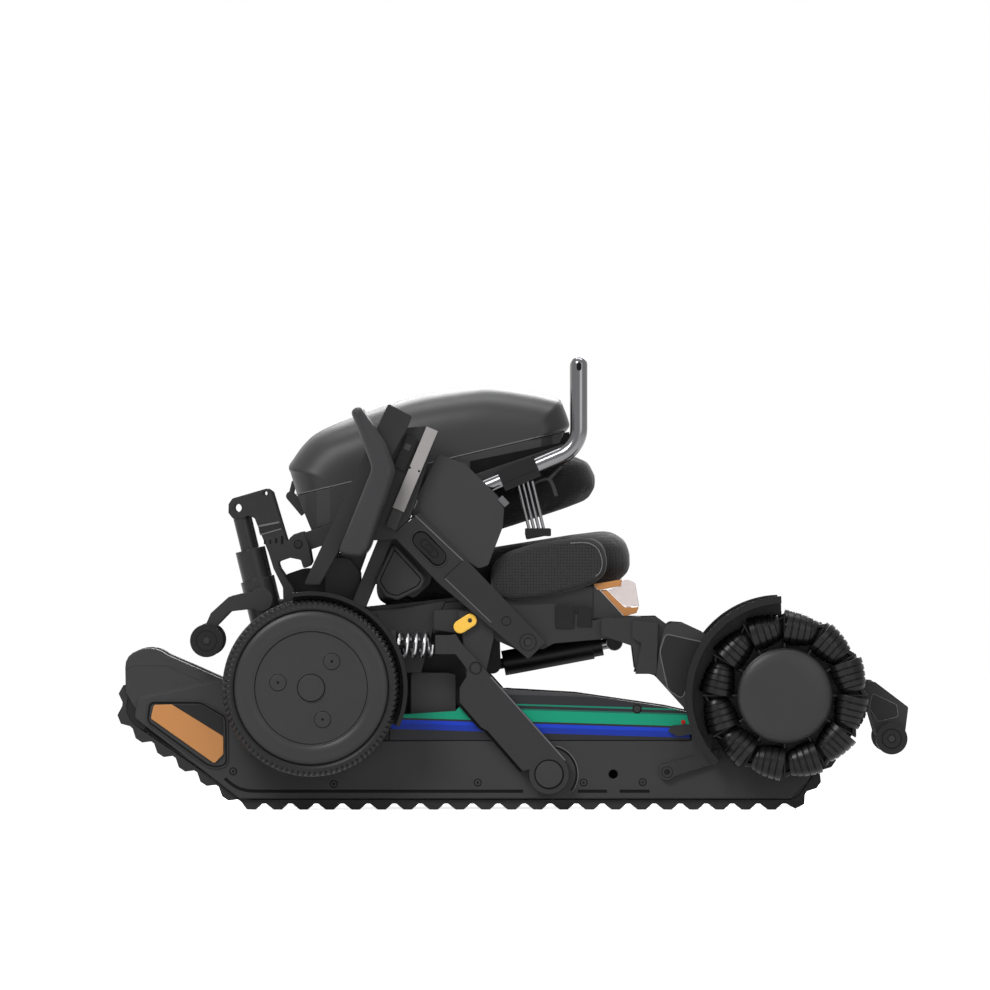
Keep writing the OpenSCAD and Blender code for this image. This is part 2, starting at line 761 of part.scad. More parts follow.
hanger_root_shares = [[0.06, 0.74], [0.96, 0.74], [0.96, 1], [0.06, 1]];
spring_x = -166;
spring_z = arm_z + (lug_shares[0][1] + lug_shares[2][1]) / 2 * arm_drop;
spring_l = arm_x + lug_shares[0][0] * arm_reach - spring_x;
spring_seat_t = 8;
spring_seat_half = 21;
spring_guide_r = 6;
spring_guide_l = 40;
cross_tubes = [[-300, 280, 12], [-210, 266, 9], [-78, 266, 9], [-30, 270, 12], [95, 285, 12]];
tray_at = [-235, 125];
tray_l = 185;
tray_h = 150;
tray_t = 5;
battery_gap = 1;
battery_half = 112;
battery_h = 108;
battery_corner = 6;
act_rear = [-28, 206];
act_ear_w = 24;
act_ear_t = 7;
act_pin_r = 6;
link_pin_r = 7;
link_in = arm_in;
link_out = arm_in + link_t;
lever_at = [-60, 271];
lever_pin_r = 3;
lever_t = 7;
motor_plate_w = 60;
motor_plate_r = 38;
function tube_point(i) = flat(cross_tubes[i]);
module frame_side() {
    difference() {
        union() {
            slab(frame_points, rail_in, rail_out);
            slab(spread(arm_rail_shares, arm_rail_at, arm_rail_size), rail_out - cut, pod_out);
        }
        pin(carriage_pivot, carriage_pin_r + fit_gap, rail_in, pod_out + cut);
    }
    slab(spread(spring_plate_shares, spring_plate_at, spring_plate_size), spring_plate_in, spring_plate_out);
    translate([spring_x - spring_seat_t, spring_plate_out - cut, spring_z - spring_seat_half])
        cube([spring_seat_t, spring_y + spring_seat_half - spring_plate_out, 2 * spring_seat_half]);
    rod([spring_x, spring_z], [spring_x + spring_guide_l, spring_z], spring_guide_r, spring_y);
    slab(spread(hanger_shares, hanger_at, hanger_size), hanger_in, hanger_out);
    slab(spread(hanger_root_shares, hanger_at, hanger_size), pod_out - cut, hanger_out);
    pin(arm_pivot, arm_pin_r, hanger_in, arm_out);
    pin(link_pivot, link_pin_r, pod_out - cut, link_out);
    slab([
        [tray_at[0], tray_at[1]], [tray_at[0] + tray_l, tray_at[1]],
        [tray_at[0] + tray_l, tray_at[1] + tray_h], [tray_at[0], tray_at[1] + tray_h]
    ], battery_half + battery_gap, battery_half + battery_gap + tray_t);
    difference() {
        union() {
            slab(bar(tube_point(0), rear_axle, motor_plate_w), bracket_in, bracket_out);
            pin(rear_axle, motor_plate_r, bracket_in, bracket_out);
            pin(tube_point(0), motor_plate_w / 2, bracket_in, bracket_out);
        }
        pin(rear_axle, tube_r + seat_gap, bracket_in - cut, bracket_out + cut);
    }
}
module main_frame() {
    color("#2e2e30") {
        both() frame_side();
        for (t = cross_tubes) pin(flat(t), t[2], -rail_in - cut, rail_in + cut);
        translate([tray_at[0], -battery_half - battery_gap - tray_t, tray_at[1]])
            cube([tray_l, 2 * (battery_half + battery_gap + tray_t), tray_t]);
        right() {
            for (y = [eye_y - eye_half - act_ear_t - slide_gap, eye_y + eye_half + slide_gap]) {
                slab(bar(tube_point(3), act_rear, act_ear_w), y, y + act_ear_t);
                pin(act_rear, act_ear_w / 2, y, y + act_ear_t);
            }
            pin(act_rear, act_pin_r, eye_y - eye_half - act_ear_t, eye_y + eye_half + act_ear_t);
            pin(lever_at, lever_pin_r, hanger_in, hanger_out + slide_gap + lever_t);
        }
    }
}
module battery_pack() {
    color("#262628") translate([tray_at[0] + battery_corner, 0, tray_at[1] + tray_t + seat_gap])
        linear_extrude(battery_h) polygon(soft([
            [0, -battery_half], [tray_l - 2 * battery_corner, -battery_half],
            [tray_l - 2 * battery_corner, battery_half], [0, battery_half]
        ], battery_corner));
}

// Linear actuator under the seat
act_way = unit(eye_at - act_rear);
act_l = norm(eye_at - act_rear);
barrel_r = 18;
barrel_back = 16;
barrel_stroke = 6;
collar_r = 15.5;
collar_l = 14;
rod_r = 7.5;
rod_tail = 60;
barrel_front = act_l - eye_r - barrel_stroke;
module actuator_barrel() {
    color("#232325") right() difference() {
        union() {
            pin(act_rear, act_ear_w / 2, eye_y - eye_half, eye_y + eye_half);
            rod(act_rear, act_rear + act_way * (barrel_back + cut), rod_r, eye_y);
            rod(act_rear + act_way * barrel_back, act_rear + act_way * (barrel_front - collar_l),
                barrel_r, eye_y);
            rod(act_rear + act_way * barrel_back, act_rear + act_way * barrel_front, collar_r, eye_y);
        }
        pin(act_rear, act_pin_r + seat_gap, eye_y - eye_half - cut, eye_y + eye_half + cut);
        rod(act_rear + act_way * (act_l - rod_tail - 2 * barrel_stroke), act_rear + act_way * act_l,
            rod_r + fit_gap, eye_y);
    }
}
module actuator_rod() {
    color("#8a8a8c") right() difference() {
        union() {
            rod(act_rear + act_way * (act_l - rod_tail), eye_at, rod_r, eye_y);
            pin(eye_at, eye_r, eye_y - eye_half, eye_y + eye_half);
        }
        pin(eye_at, eye_pin_r + eye_gap, eye_y - eye_half - cut, eye_y + eye_half + cut);
    }
}

// Coil springs, each one unbroken tube with straight ends
curl_rings = 8;
wire_sides = 6;
spring_rings = spring_turns * curl_rings;
coil_l = spring_l - 2 * spring_wire - 2 * seat_gap;
function coil_point(k) = [
    seat_gap + spring_wire + coil_l * k / spring_rings,
    spring_r * cos(360 * k / curl_rings), spring_r * sin(360 * k / curl_rings)
];
spring_path = concat(
    [[seat_gap, spring_r, 0]],
    [for (k = [0:spring_rings]) coil_point(k)],
    [[spring_l - seat_gap, spring_r, 0]]
);
spring_n = len(spring_path);
function spring_way(i) =
    i == 0 || i == spring_n - 1
        ? [1, 0, 0]
        : unit(unit(spring_path[i + 1] - spring_path[i]) + unit(spring_path[i] - spring_path[i - 1]));
function ring_points(i) =
    let (
        t = spring_way(i),
        p = spring_path[i],
        radial = unit([0, p[1], p[2]]),
        u = unit(radial - t * (t * radial)),
        v = cross(t, u)
    )
    [
        for (j = [0:wire_sides - 1])
            let (a = 360 * j / wire_sides)
            p + spring_wire / 2 * (u * cos(a) + v * sin(a))
    ];
// Faces of a closed tube of rings, as triangles
function tube_faces(rings, sides) = concat(
    [for (j = [1:sides - 2]) [0, j, j + 1]],
    [
        for (i = [0:rings - 2], j = [0:sides - 1])
            let (a = i * sides + j, b = i * sides + (j + 1) % sides)
            each [[a, a + sides, b], [b, a + sides, b + sides]]
    ],
    [for (j = [1:sides - 2]) let (a = (rings - 1) * sides) [a, a + j + 1, a + j]]
);
spring_gap = min([
    for (i = [0:spring_n - 1], j = [i + curl_rings / 2 + 1:1:spring_n - 1])
        norm(spring_path[i] - spring_path[j]) - spring_wire
]);
echo(least_spring_gap = spring_gap);
module coil_springs() {
    color("#c8c8cc") both() translate([spring_x, spring_y, spring_z])
        polyhedron([for (i = [0:spring_n - 1]) each ring_points(i)], tube_faces(spring_n, wire_sides));
}
module release_lever() {
    lever_w = 19;
    lever_reach = [-14, -9];
    lever_tip = unit(lever_reach) * (lever_w / 2);
    color("#ffcc55") right() difference() {
        slab(soft(bar(lever_at - lever_tip, lever_at + lever_reach + lever_tip, lever_w),
                lever_w / 2 - slide_gap),
            hanger_out + slide_gap, hanger_out + slide_gap + lever_t);
        pin(lever_at, lever_pin_r + fit_gap, hanger_out, hanger_out + lever_t + cut);
    }
}

// Crowned cushion: rings over an outline whose sides draw in between the corners
cushion_n = 44;
cushion_power = 0.36;
cushion_draw_share = 0.025;
// Shares of the way in from the outline, and of the thickness
cushion_shares = [
    [0.35, 0], [0.07, 0.01], [0.02, 0.08], [0, 0.24], [0, 0.5], [0.008, 0.68], [0.03, 0.81],
    [0.08, 0.9], [0.2, 0.96], [0.45, 0.99]
];
function outline_1(v) = sign(v) * pow(abs(v), cushion_power);
function cushion_outline(a) =
    let (draw = 1 - cushion_draw_share * pow(cos(2 * a), 4))
    [outline_1(cos(a)) * draw, outline_1(sin(a)) * draw];
function cushion_point(p, inset, h, l, w, t, rear) =
    let (x = p[0] * (1 - inset), y = p[1] * (1 - inset))
    [x * l / 2, y * w / 2, t * h * (rear + (1 - rear) * (1 + x) / 2)];
module cushion(l, w, t, rear) {
    rings = len(cushion_shares);
    points = [
        for (s = cushion_shares, j = [0:cushion_n - 1])
            cushion_point(cushion_outline(360 * (j + 1 / 2) / cushion_n), s[0], s[1], l, w, t, rear)
    ];
    last = (rings - 1) * cushion_n;
    polyhedron(
        concat(points, [[0, 0, 0], [0, 0, t * (1 + rear) / 2]]),
        concat(
            [
                for (i = [0:rings - 2], j = [0:cushion_n - 1])
                    let (a = i * cushion_n + j, b = i * cushion_n + (j + 1) % cushion_n)
                    each [[a, a + cushion_n, b], [b, a + cushion_n, b + cushion_n]]
            ],
            [for (j = [0:cushion_n - 1]) [j, (j + 1) % cushion_n, len(points)]],
            [for (j = [0:cushion_n - 1]) [last + (j + 1) % cushion_n, last + j, len(points) + 1]]
        )
    );
}

// Seat pan and cushion, on the slope of the seat side plates
pan_t = 6;
pan_rear = frame_points[2];
pan_way = unit(frame_points[3] - pan_rear);
pan_up = [-pan_way[1], pan_way[0]];
pan_l = norm(frame_points[3] - pan_rear);
seat_tilt = way_deg(pan_rear, frame_points[3]);
seat_rear = 8;
seat_l = 398;
seat_rear_share = 0.7;
module seat_pan() {
    p = pan_rear + pan_up * seat_gap;
    color("#29292b") slab([
        p, p + pan_way * pan_l, p + pan_way * pan_l + pan_up * pan_t, p + pan_up * pan_t
    ], seat_gap - spring_plate_in, spring_plate_in - seat_gap);
}
module seat_cushion() {
    p = pan_rear + pan_way * (seat_rear + seat_l / 2) + pan_up * (pan_t + seat_gap + soft_gap);
    color("#1d1d1f") translate([p[0], 0, p[1]]) rotate([0, -seat_tilt, 0])
        cushion(seat_l, 2 * seat_half, seat_t, seat_rear_share);
}

// Control box between the seat side plates, behind the seat
control_h = 83;
control_corner = 8;
control_at = [
    cross_tubes[0][0] + motor_plate_w / 2 + side_gap, cross_tubes[1][1] + cross_tubes[1][2] + side_gap
];
control_size = [pan_rear[0] - side_gap - control_at[0], control_h];
control_shares = [[0, 0], [0, 0.8], [0.3, 1], [0.7, 1], [1, 0.75], [1, 0]];
module control_box() {
    color("#1b1b1c") slab(soft(spread(control_shares, control_at, control_size), control_corner),
        seat_gap - rail_in, rail_in - seat_gap);
}

// Front lamps
lamp_z = 273;
lamp_at = [frame_points[3][0] + seat_gap, lamp_z];
lamp_size = [70, 57];
lamp_in = 136;
lamp_out = rail_out - cut - seat_gap;
lamp_corner = 2;
housing_shares = [
    [0, 0], [0, 0.868], [0.1, 0.71], [0.157, 0.702], [0.507, 0.237], [0.635, 0.06], [0.986, 0.05], [0.986, 0]
];
lens_shares = [
    [0.308, 0.712], [0.58, 0.827], [0.589, 0.985], [0.72, 0.991], [0.864, 0.9], [0.944, 0.305], [0.66, 0.288]
];
lamp_top_shares = [[0.004, 0.875], [0.583, 0.991], [0.574, 0.833], [0.105, 0.716]];
lamp_low_shares = [
    [0.163, 0.707], [0.3, 0.707], [0.655, 0.281], [0.94, 0.298], [0.886, 0.146], [0.642, 0.066], [0.512, 0.243]
];
module lamp_part(shares) {
    both() slab(soft(spread(shares, lamp_at, lamp_size), lamp_corner / 2), lamp_in, lamp_out);
}
module lamp_housings() {
    color("#3b3b3d") lamp_part(housing_shares);
}
module lamp_lenses() {
    color("#e8e8ea") lamp_part(lens_shares);
}
module lamp_reflectors() {
    color("#c07a3c") {
        lamp_part(lamp_top_shares);
        lamp_part(lamp_low_shares);
    }
}

// Covers beside the seat, each on a bar that stands on the seat side plate
cover_at = [-196, 300];
cover_size = [73, 82];
cover_shares = [[0.36, 1], [1, 0.38], [0.9, 0.2], [0.44, 0], [0.2, 0.06], [0, 0.33]];
cover_corner = 6;
cover_out = 223;
cover_bar_top = [-178, 395];
cover_bar_foot = [-228, 272];
cover_bar_w = 20;
cover_bar_out = 216;
cover_web_w = 24;
module side_covers() {
    color("#343436") both() {
        slab(soft(spread(cover_shares, cover_at, cover_size), cover_corner),
            spring_plate_out + seat_gap, cover_out);
        slab(bar(cover_bar_foot, cover_bar_top, cover_bar_w), rail_out + seat_gap, cover_bar_out);
        slab(bar((cover_bar_foot + cover_bar_top) / 2, cover_at + cover_size / 2, cover_web_w),
            spring_plate_out + seat_gap, cover_bar_out);
    }
}

// Rear struts with their bracket plates and the backrest hinge pins
strut_low = [-352, 272];
strut_top = [-389.2, 424];
strut_y = 202;
strut_tube_r = 11.5;
strut_mid_r = 20;
strut_collar_r = 23;
strut_mid_share = 0.66;
strut_collar_share = 0.38;
strut_foot_w = 28;
bracket_at = [-405, 360];
bracket_size = [120, 100];
bracket_shares = [
    [-0.006, 0.777], [0.041, 0.857], [0.452, 1], [0.511, 0.952], [0.697, 0.21], [0.769, 0.341], [0.888, 0.389],
    [0.954, 0.18], [0.988, -0.06], [0.958, -0.115], [0.888, -0.15], [0.856, -0.025], [0.729, 0.006],
    [0.578, -0.057], [0.604, -0.152], [0.775, -0.44], [0.775, -0.77], [0.65, -0.77], [0.642, -0.42],
    [0.531, -0.152], [0.464, 0.102], [0.333, 0.484], [0.306, 0.571], [0.227, 0.611], [0.175, 0.57],
    [0.041, 0.571], [-0.008, 0.65]
];
bracket_foot_share = [0.71, -0.68];
bracket_foot_r = 5;
bracket_plate_in = 208;
bracket_plate_t = 6;
bracket_corner = 3;
bracket_hole_share = [0.1, 0.72];
bracket_hole_r = 6;
bracket_small_share = [0.43, 0.93];
bracket_small_r = 3.3;
back_pin_r = 7;
back_bar_in = 178;
back_bar_t = 16;
back_bar_out = back_bar_in + back_bar_t;
function strut_point(k) = strut_low + (strut_top - strut_low) * k;
module strut_collar(extra) {
    rod(strut_low, strut_point(strut_collar_share), strut_collar_r + extra, strut_y);
}
module rear_strut() {
    difference() {
        union() {
            rod(strut_low, strut_top, strut_tube_r, strut_y);
            rod(strut_low, strut_point(strut_mid_share), strut_mid_r, strut_y);
            strut_collar(0);
            slab(bar(strut_low + [0, strut_foot_w / 2],
                    [frame_at[0] - seat_gap, strut_low[1] + strut_foot_w / 2], strut_foot_w),
                rail_in + cut, rail_out - cut);
            slab(soft(spread(bracket_shares, bracket_at, bracket_size), bracket_corner),
                bracket_plate_in, bracket_plate_in + bracket_plate_t);
            pin(back_hinge, back_pin_r, back_bar_in, bracket_plate_in + bracket_plate_t);
            for (p = spread([bracket_foot_share], bracket_at, bracket_size))
                pin(p, bracket_foot_r, rail_out + seat_gap, bracket_plate_in + bracket_plate_t);
        }
        for (p = spread([bracket_hole_share], bracket_at, bracket_size))
            pin(p, bracket_hole_r, bracket_plate_in - cut, bracket_plate_in + bracket_plate_t + cut);
        for (p = spread([bracket_small_share], bracket_at, bracket_size))
            pin(p, bracket_small_r, bracket_plate_in - cut, bracket_plate_in + bracket_plate_t + cut);
    }
}
module rear_struts() {
    color("#2b2b2d") both() rear_strut();
}

// Small casters behind the struts
caster_at = [-437, 242];
caster_r = 23.6;
caster_w = 20;
caster_pin_r = 5;
caster_plate_in = 212;
caster_boss_r = 17;
caster_boss_at = strut_point(strut_collar_share / 2);
caster_arm_size = [75, 58];
caster_shares = [
    [0, 0.16], [0.07, 0.19], [0.18, 0.36], [0.45, 0.72], [0.85, 0.78], [1.1, 0.8], [1.1, 1.2],
    [0.8, 1.2], [0.42, 1.08], [0.08, 0.68], [-0.09, 0.18], [-0.04, -0.12], [0.1, 0.02]
];
caster_corner = 2;
caster_in = hanger_out + slide_gap;
module caster_arm() {
    difference() {
        union() {
            slab(soft(spread(caster_shares, caster_at, caster_arm_size), caster_corner),
                pod_out + cut, hanger_out);
            pin(caster_boss_at, caster_boss_r, caster_plate_in, hanger_out);
        }
        strut_collar(seat_gap);
        rod(strut_low, strut_top, strut_mid_r + seat_gap, strut_y);
    }
    pin(caster_at, caster_pin_r, pod_out + cut, caster_in + caster_w + side_gap);
}
module caster_arms() {
    color("#2f2f31") both() caster_arm();
}
module caster_wheels() {
    color("#1e1e1f") both() difference() {
        pin(caster_at, caster_r, caster_in, caster_in + caster_w);
        pin(caster_at, caster_pin_r + fit_gap, caster_in - cut, caster_in + caster_w + cut);
    }
}

// Backrest, folded forward over the seat
back_end = [80, 512];
back_way = unit(back_end - back_hinge);
back_up = [-back_way[1], back_way[0]];
back_l = norm(back_end - back_hinge);
back_bar_w = 26;
back_eye_r = 15;
back_cross_t = 12;
back_cross_shares = [0.14, 0.56, 0.96];
back_cushion_l = 280;
back_cushion_half = 172;
back_cushion_end = 36;
back_rear_share = 0.92;
function back_point(s, n) = back_hinge + back_way * s + back_up * n;
function back_box(s0, s1, n0, n1) =
    [back_point(s0, n0), back_point(s1, n0), back_point(s1, n1), back_point(s0, n1)];
module backrest_frame() {
    color("#303032") {
        both() difference() {
            union() {
                slab(back_box(0, back_l, -back_bar_w / 2, back_bar_w / 2),
                    back_bar_in + slide_gap, back_bar_out);
                pin(back_hinge, back_eye_r, back_bar_in + slide_gap, back_bar_out);
            }
            pin(back_hinge, back_pin_r + fit_gap, back_bar_in, back_bar_out + cut);
        }
        for (k = back_cross_shares)
            slab(back_box(back_l * k - back_cross_t / 2, back_l * k + back_cross_t / 2,
                    -back_bar_w / 2, back_bar_w / 2),
                -back_bar_in - cut, back_bar_in + cut);
    }
}
module backrest_cushion() {
    p = back_point(back_l + back_cushion_end - back_cushion_l / 2, -back_bar_w / 2 - soft_gap);
    color("#1d1d1f") translate([p[0], 0, p[1]]) rotate([0, 180 - way_deg(back_hinge, back_end), 0])
        mirror([1, 0, 0]) cushion(back_cushion_l, 2 * back_cushion_half, back_t, back_rear_share);
}

// Hard case on the back of the backrest
case_l = 392;
case_h = 153;
case_at = [-308, 450];
case_plan_corner = 60;
case_top_corner = 46;
case_top = 95;
lid_steps = 3;
case_seam_gap = 0.4;
lid_shares = [
    [0, 0], [-0.033, 0.275], [0.02, 0.48], [0.079, 0.595], [0.196, 0.712], [0.42, 0.889],
    [0.6, 0.965], [0.76, 1], [0.89, 0.985], [0.965, 0.9], [0.998, 0.67], [0.98, 0.6]
];
case_tray_s = 24;
case_tray_end = 6;
case_lid_hinge = [-318, 449];
case_pin_r = 3;
knuckle_r = 6.5;
knuckle_y = [60, 80];
ear_t = 8;
lid_points = curved(spread(lid_shares, case_at, [case_l, case_h]), lid_steps);
lid_last = lid_points[len(lid_points) - 1];
seam_way = unit(lid_last - lid_points[0]);
seam_up = [-seam_way[1], seam_way[0]];
tray_points = [
    lid_points[0] - seam_up * case_seam_gap, back_point(case_tray_s, back_bar_w / 2 + seat_gap),
    back_point(back_l - case_tray_end, back_bar_w / 2 + seat_gap), lid_last - seam_up * case_seam_gap
];
// Mouth of a shell, from its hollow through the seam
function mouth(inner, a, b, deep) = [inner[a], inner[b], inner[b] + deep, inner[a] + deep];
module case_plan(inset) {
    x0 = min([for (p = lid_points) p[0]]) + inset;
    x1 = max([for (p = lid_points) p[0]]) - inset;
    y = case_half - inset;
    translate([0, 0, case_at[1] - case_h]) linear_extrude(3 * case_h)
        polygon(soft([[x0, -y], [x1, -y], [x1, y], [x0, y]], case_plan_corner - inset));
}
// Rounded top edges, along the seam
module case_loaf(inset) {
    y = case_half - inset;
    translate([case_at[0], 0, case_at[1]]) rotate([0, -way_deg(lid_points[0], lid_last), 0]) rotate([90, 0, 90])
        translate([0, 0, -case_l / 2]) linear_extrude(2 * case_l) polygon(soft([
            [-y, -case_h], [y, -case_h], [y, case_top - inset], [-y, case_top - inset]
        ], case_top_corner - inset));
}
module case_shell(points, first, last, deep) {
    inner = drawn_in(points, case_wall);
    difference() {
        intersection() {
            slab(points, -case_half, case_half);
            case_plan(0);
            case_loaf(0);
        }
        intersection() {
            union() {
                slab(inner, -case_half + case_wall, case_half - case_wall);
                slab(mouth(inner, first, last, deep), -case_half + case_wall, case_half - case_wall);
            }
            case_plan(case_wall);
            case_loaf(case_wall);
        }
    }
}
module case_tray() {
    color("#202022") {
        case_shell(tray_points, 0, 3, seam_up * 3 * case_wall);
        both() {
            for (y = [knuckle_y[0] - ear_t - slide_gap, knuckle_y[1] + slide_gap]) {
                slab(bar(case_lid_hinge, (tray_points[0] + tray_points[1]) / 2, 2 * knuckle_r), y, y + ear_t);
                pin(case_lid_hinge, knuckle_r, y, y + ear_t);
            }
            pin(case_lid_hinge, case_pin_r, knuckle_y[0] - ear_t, knuckle_y[1] + ear_t);
        }
    }
}
module case_lid() {
    color("#18181a") difference() {
        union() {
            case_shell(lid_points, 0, len(lid_points) - 1, -seam_up * 3 * case_wall);
            both() {
                slab(bar(case_lid_hinge, (lid_points[0] + lid_points[1]) / 2, knuckle_r),
                    knuckle_y[0], knuckle_y[1]);
                pin(case_lid_hinge, knuckle_r, knuckle_y[0], knuckle_y[1]);
            }
        }
        both() pin(case_lid_hinge, case_pin_r + fit_gap, knuckle_y[0] - cut, knuckle_y[1] + cut);
    }
}

// Push handle: two bent canes and a cross grip
handle_x = 96;
handle_top = 649;
handle_corner = [handle_x, 518];
handle_bend = 42;
bend_ease = 0.1;
handle_slope = 23;
handle_tail = 250;
handle_y = 208;
handle_way = [cos(handle_slope), sin(handle_slope)];
handle_turn = 90 - handle_slope;
handle_reach = handle_bend * tan(handle_turn / 2);
grip_z = 634;
grip_r = 8;
module handle_cane() {
    r = handle_d / 2;
    translate([handle_x - handle_bend, handle_y, handle_corner[1] + handle_reach])
        rotate([90, 0, 0]) rotate([0, 0, -handle_turn])
            rotate_extrude(angle = handle_turn) translate([handle_bend, 0]) circle(r = r - bend_ease);
    rod(handle_corner + [0, handle_reach - cut], [handle_x, handle_top], r, handle_y);
    rod(handle_corner - handle_way * handle_tail,
        handle_corner - handle_way * (handle_reach - cut), r, handle_y);
}
module push_handle() {
    color("#b9b9bd") {
        both() handle_cane();
        pin([handle_x, grip_z], grip_r, -handle_y, handle_y);
    }
}
clamp_mid = [10, 481.5];
clamp_l = 56;
clamp_w = 32;
clamp_wall = 3;
clamp_out = handle_y + handle_d / 2 + clamp_wall;
clamp_ends = [clamp_mid - handle_way * clamp_l / 2, clamp_mid + handle_way * clamp_l / 2];
module clamp_body() {
    slab(bar(clamp_ends[0], clamp_ends[1], clamp_w), back_bar_out + seat_gap, clamp_out);
}
module handle_clamps() {
    color("#1f1f20") both() difference() {
        clamp_body();
        rod(handle_corner - handle_way * handle_tail, handle_corner, handle_d / 2 + fit_gap, handle_y);
    }
}
fold_rod_r = 2.4;
fold_rod_top = [8, 478];
fold_rod_foot = [27, 396];
fold_rod_step = [7, 0];
fold_rod_count = 4;
fold_block_h = 12;
module fold_rods() {
    ends = [fold_rod_foot - fold_rod_step, fold_rod_foot + fold_rod_step * fold_rod_count];
    color("#77777a") both() {
        difference() {
            for (i = [0:fold_rod_count - 1])
                rod(fold_rod_foot + fold_rod_step * i, fold_rod_top + fold_rod_step * i,
                    fold_rod_r, handle_y);
            translate([0, seat_gap, 0]) clamp_body();
        }
        slab(bar(ends[0], ends[1], fold_block_h), handle_y - fold_block_h / 2, handle_y + fold_block_h / 2);
    }
}

// Armrests, swung back
link_size = [196, 186];
link_shares = [[-0.007, -0.126], [0.12, 0.005], [-0.469, 0.65], [-0.806, 1], [-1, 0.828], [-0.653, 0.446]];
plate_shares = [
    [-0.673, 1.624], [-0.76, 1.667], [-0.97, 1.645], [-1.352, 0.89],
    [-1.173, 0.785], [-0.95, 0.8], [-0.85, 1.02]
];
link_corner = 3;
button_mid_share = [-0.73, 0.726];
button_l = 56;
button_w = 22;
button_travel = 3;
button_proud = 3;
button_t = 9;
body_t = 18;
body_shares = [[-1.03, 1.839], [-0.857, 1.742], [-0.893, 1.645], [-1.531, 0.446], [-1.648, 0.446]];
pad_shares = [
    [-1.306, 1.785], [-1.235, 1.828], [-1.046, 1.538], [-0.974, 1.333], [-1.01, 1.21], [-1.168, 0.715],
    [-1.224, 0.65], [-1.352, 0.661], [-1.393, 0.704], [-1.148, 1.344]
];
pad_corner = 5;
guard_t = 5;
guard_shares = [
    [-0.668, 1.457], [-0.469, 1.376], [-0.23, 1.13], [-0.184, 1.032], [-0.194, 0.892], [-0.301, 0.597],
    [-0.372, 0.57], [-0.867, 0.93], [-0.842, 1.08]
];
guard_corner = 6;
body_out = link_out + body_t;
function button_outline(extra) =
    let (
        m = link_pivot + [button_mid_share[0] * link_size[0], button_mid_share[1] * link_size[1]],
        d = unit([-link_size[0], link_size[1]]),
        half = d * (button_l / 2 + extra),
        w = button_w + 2 * extra
    )
    soft(bar(m - half, m + half, w), w / 2 - seat_gap);
module arm_link() {
    difference() {
        union() {
            slab(soft(spread(link_shares, link_pivot, link_size), link_corner), link_in, link_out);
            slab(soft(spread(plate_shares, link_pivot, link_size), link_corner), link_in, link_out);
        }
        pin(link_pivot, link_pin_r + fit_gap, link_in - cut, link_out + cut);
        slab(button_outline(slide_gap),
            link_out + button_proud - button_t - button_travel - slide_gap, link_out + cut);
    }
}
module arm_link_left() {
    color("#3c3c3e") arm_link();
}
module arm_link_right() {
    color("#3c3c3e") right() arm_link();
}
module arm_button() {
    slab(button_outline(0), link_out + button_proud - button_t, link_out + button_proud);
}
module arm_button_left() {
    color("#2a2a2c") arm_button();
}
module arm_button_right() {
    color("#2a2a2c") right() arm_button();
}
module arm_body() {
    slab(soft(spread(body_shares, link_pivot, link_size), link_corner), link_out + seat_gap, body_out);
}
module arm_body_left() {
    color("#414143") arm_body();
}
module arm_body_right() {
    color("#414143") right() arm_body();
}
module arm_pad() {
    slab(soft(spread(pad_shares, link_pivot, link_size), pad_corner), body_out + seat_gap, body_out + rest_w);
}
module arm_pad_left() {
    color("#3b3b3d") arm_pad();
}
module arm_pad_right() {
    color("#3b3b3d") right() arm_pad();
}
module side_guard() {
    slab(soft(spread(guard_shares, link_pivot, link_size), guard_corner),
        link_in - guard_t, link_in - seat_gap);
}
module side_guard_left() {
    color("#404042") side_guard();
}
module side_guard_right() {
    color("#404042") right() side_guard();
}

main_frame();
seat_pan();
seat_cushion();
control_box();
battery_pack();
rear_drive_units();
rear_fenders();
rear_struts();
caster_arms();
caster_wheels();
lamp_housings();
lamp_lenses();
lamp_reflectors();
side_covers();
actuator_barrel();
actuator_rod();
coil_springs();
release_lever();
backrest_frame();
backrest_cushion();
case_tray();
case_lid();
handle_clamps();
fold_rods();
push_handle();
arm_link_right();
arm_link_left();
arm_body_right();
arm_body_left();
arm_pad_right();
arm_pad_left();
side_guard_right();
side_guard_left();
arm_button_right();
arm_button_left();
rear_tyre_right();
rear_tyre_left();
rear_rim_right();
rear_rim_left();
carriage_frame();
front_drive_units();
front_fenders();
omni_hub_right();
omni_hub_left();
omni_rollers_right();
omni_rollers_left();
guide_rollers();
swing_arms();
track_frame_right();
track_frame_left();
track_belt_right();
track_belt_left();
track_fairings();
amber_reflectors();
tension_levers();
track_sprockets();
track_idlers();
front_rollers();
rear_rollers();
return_rollers();
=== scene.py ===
"""Looks of the folded stair climbing wheelchair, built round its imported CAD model."""

import json
from math import atan2, copysign, cos, pi, radians, sin, sqrt, tan, tau

import bmesh
import bpy
import numpy as np
from mathutils import Matrix, Vector


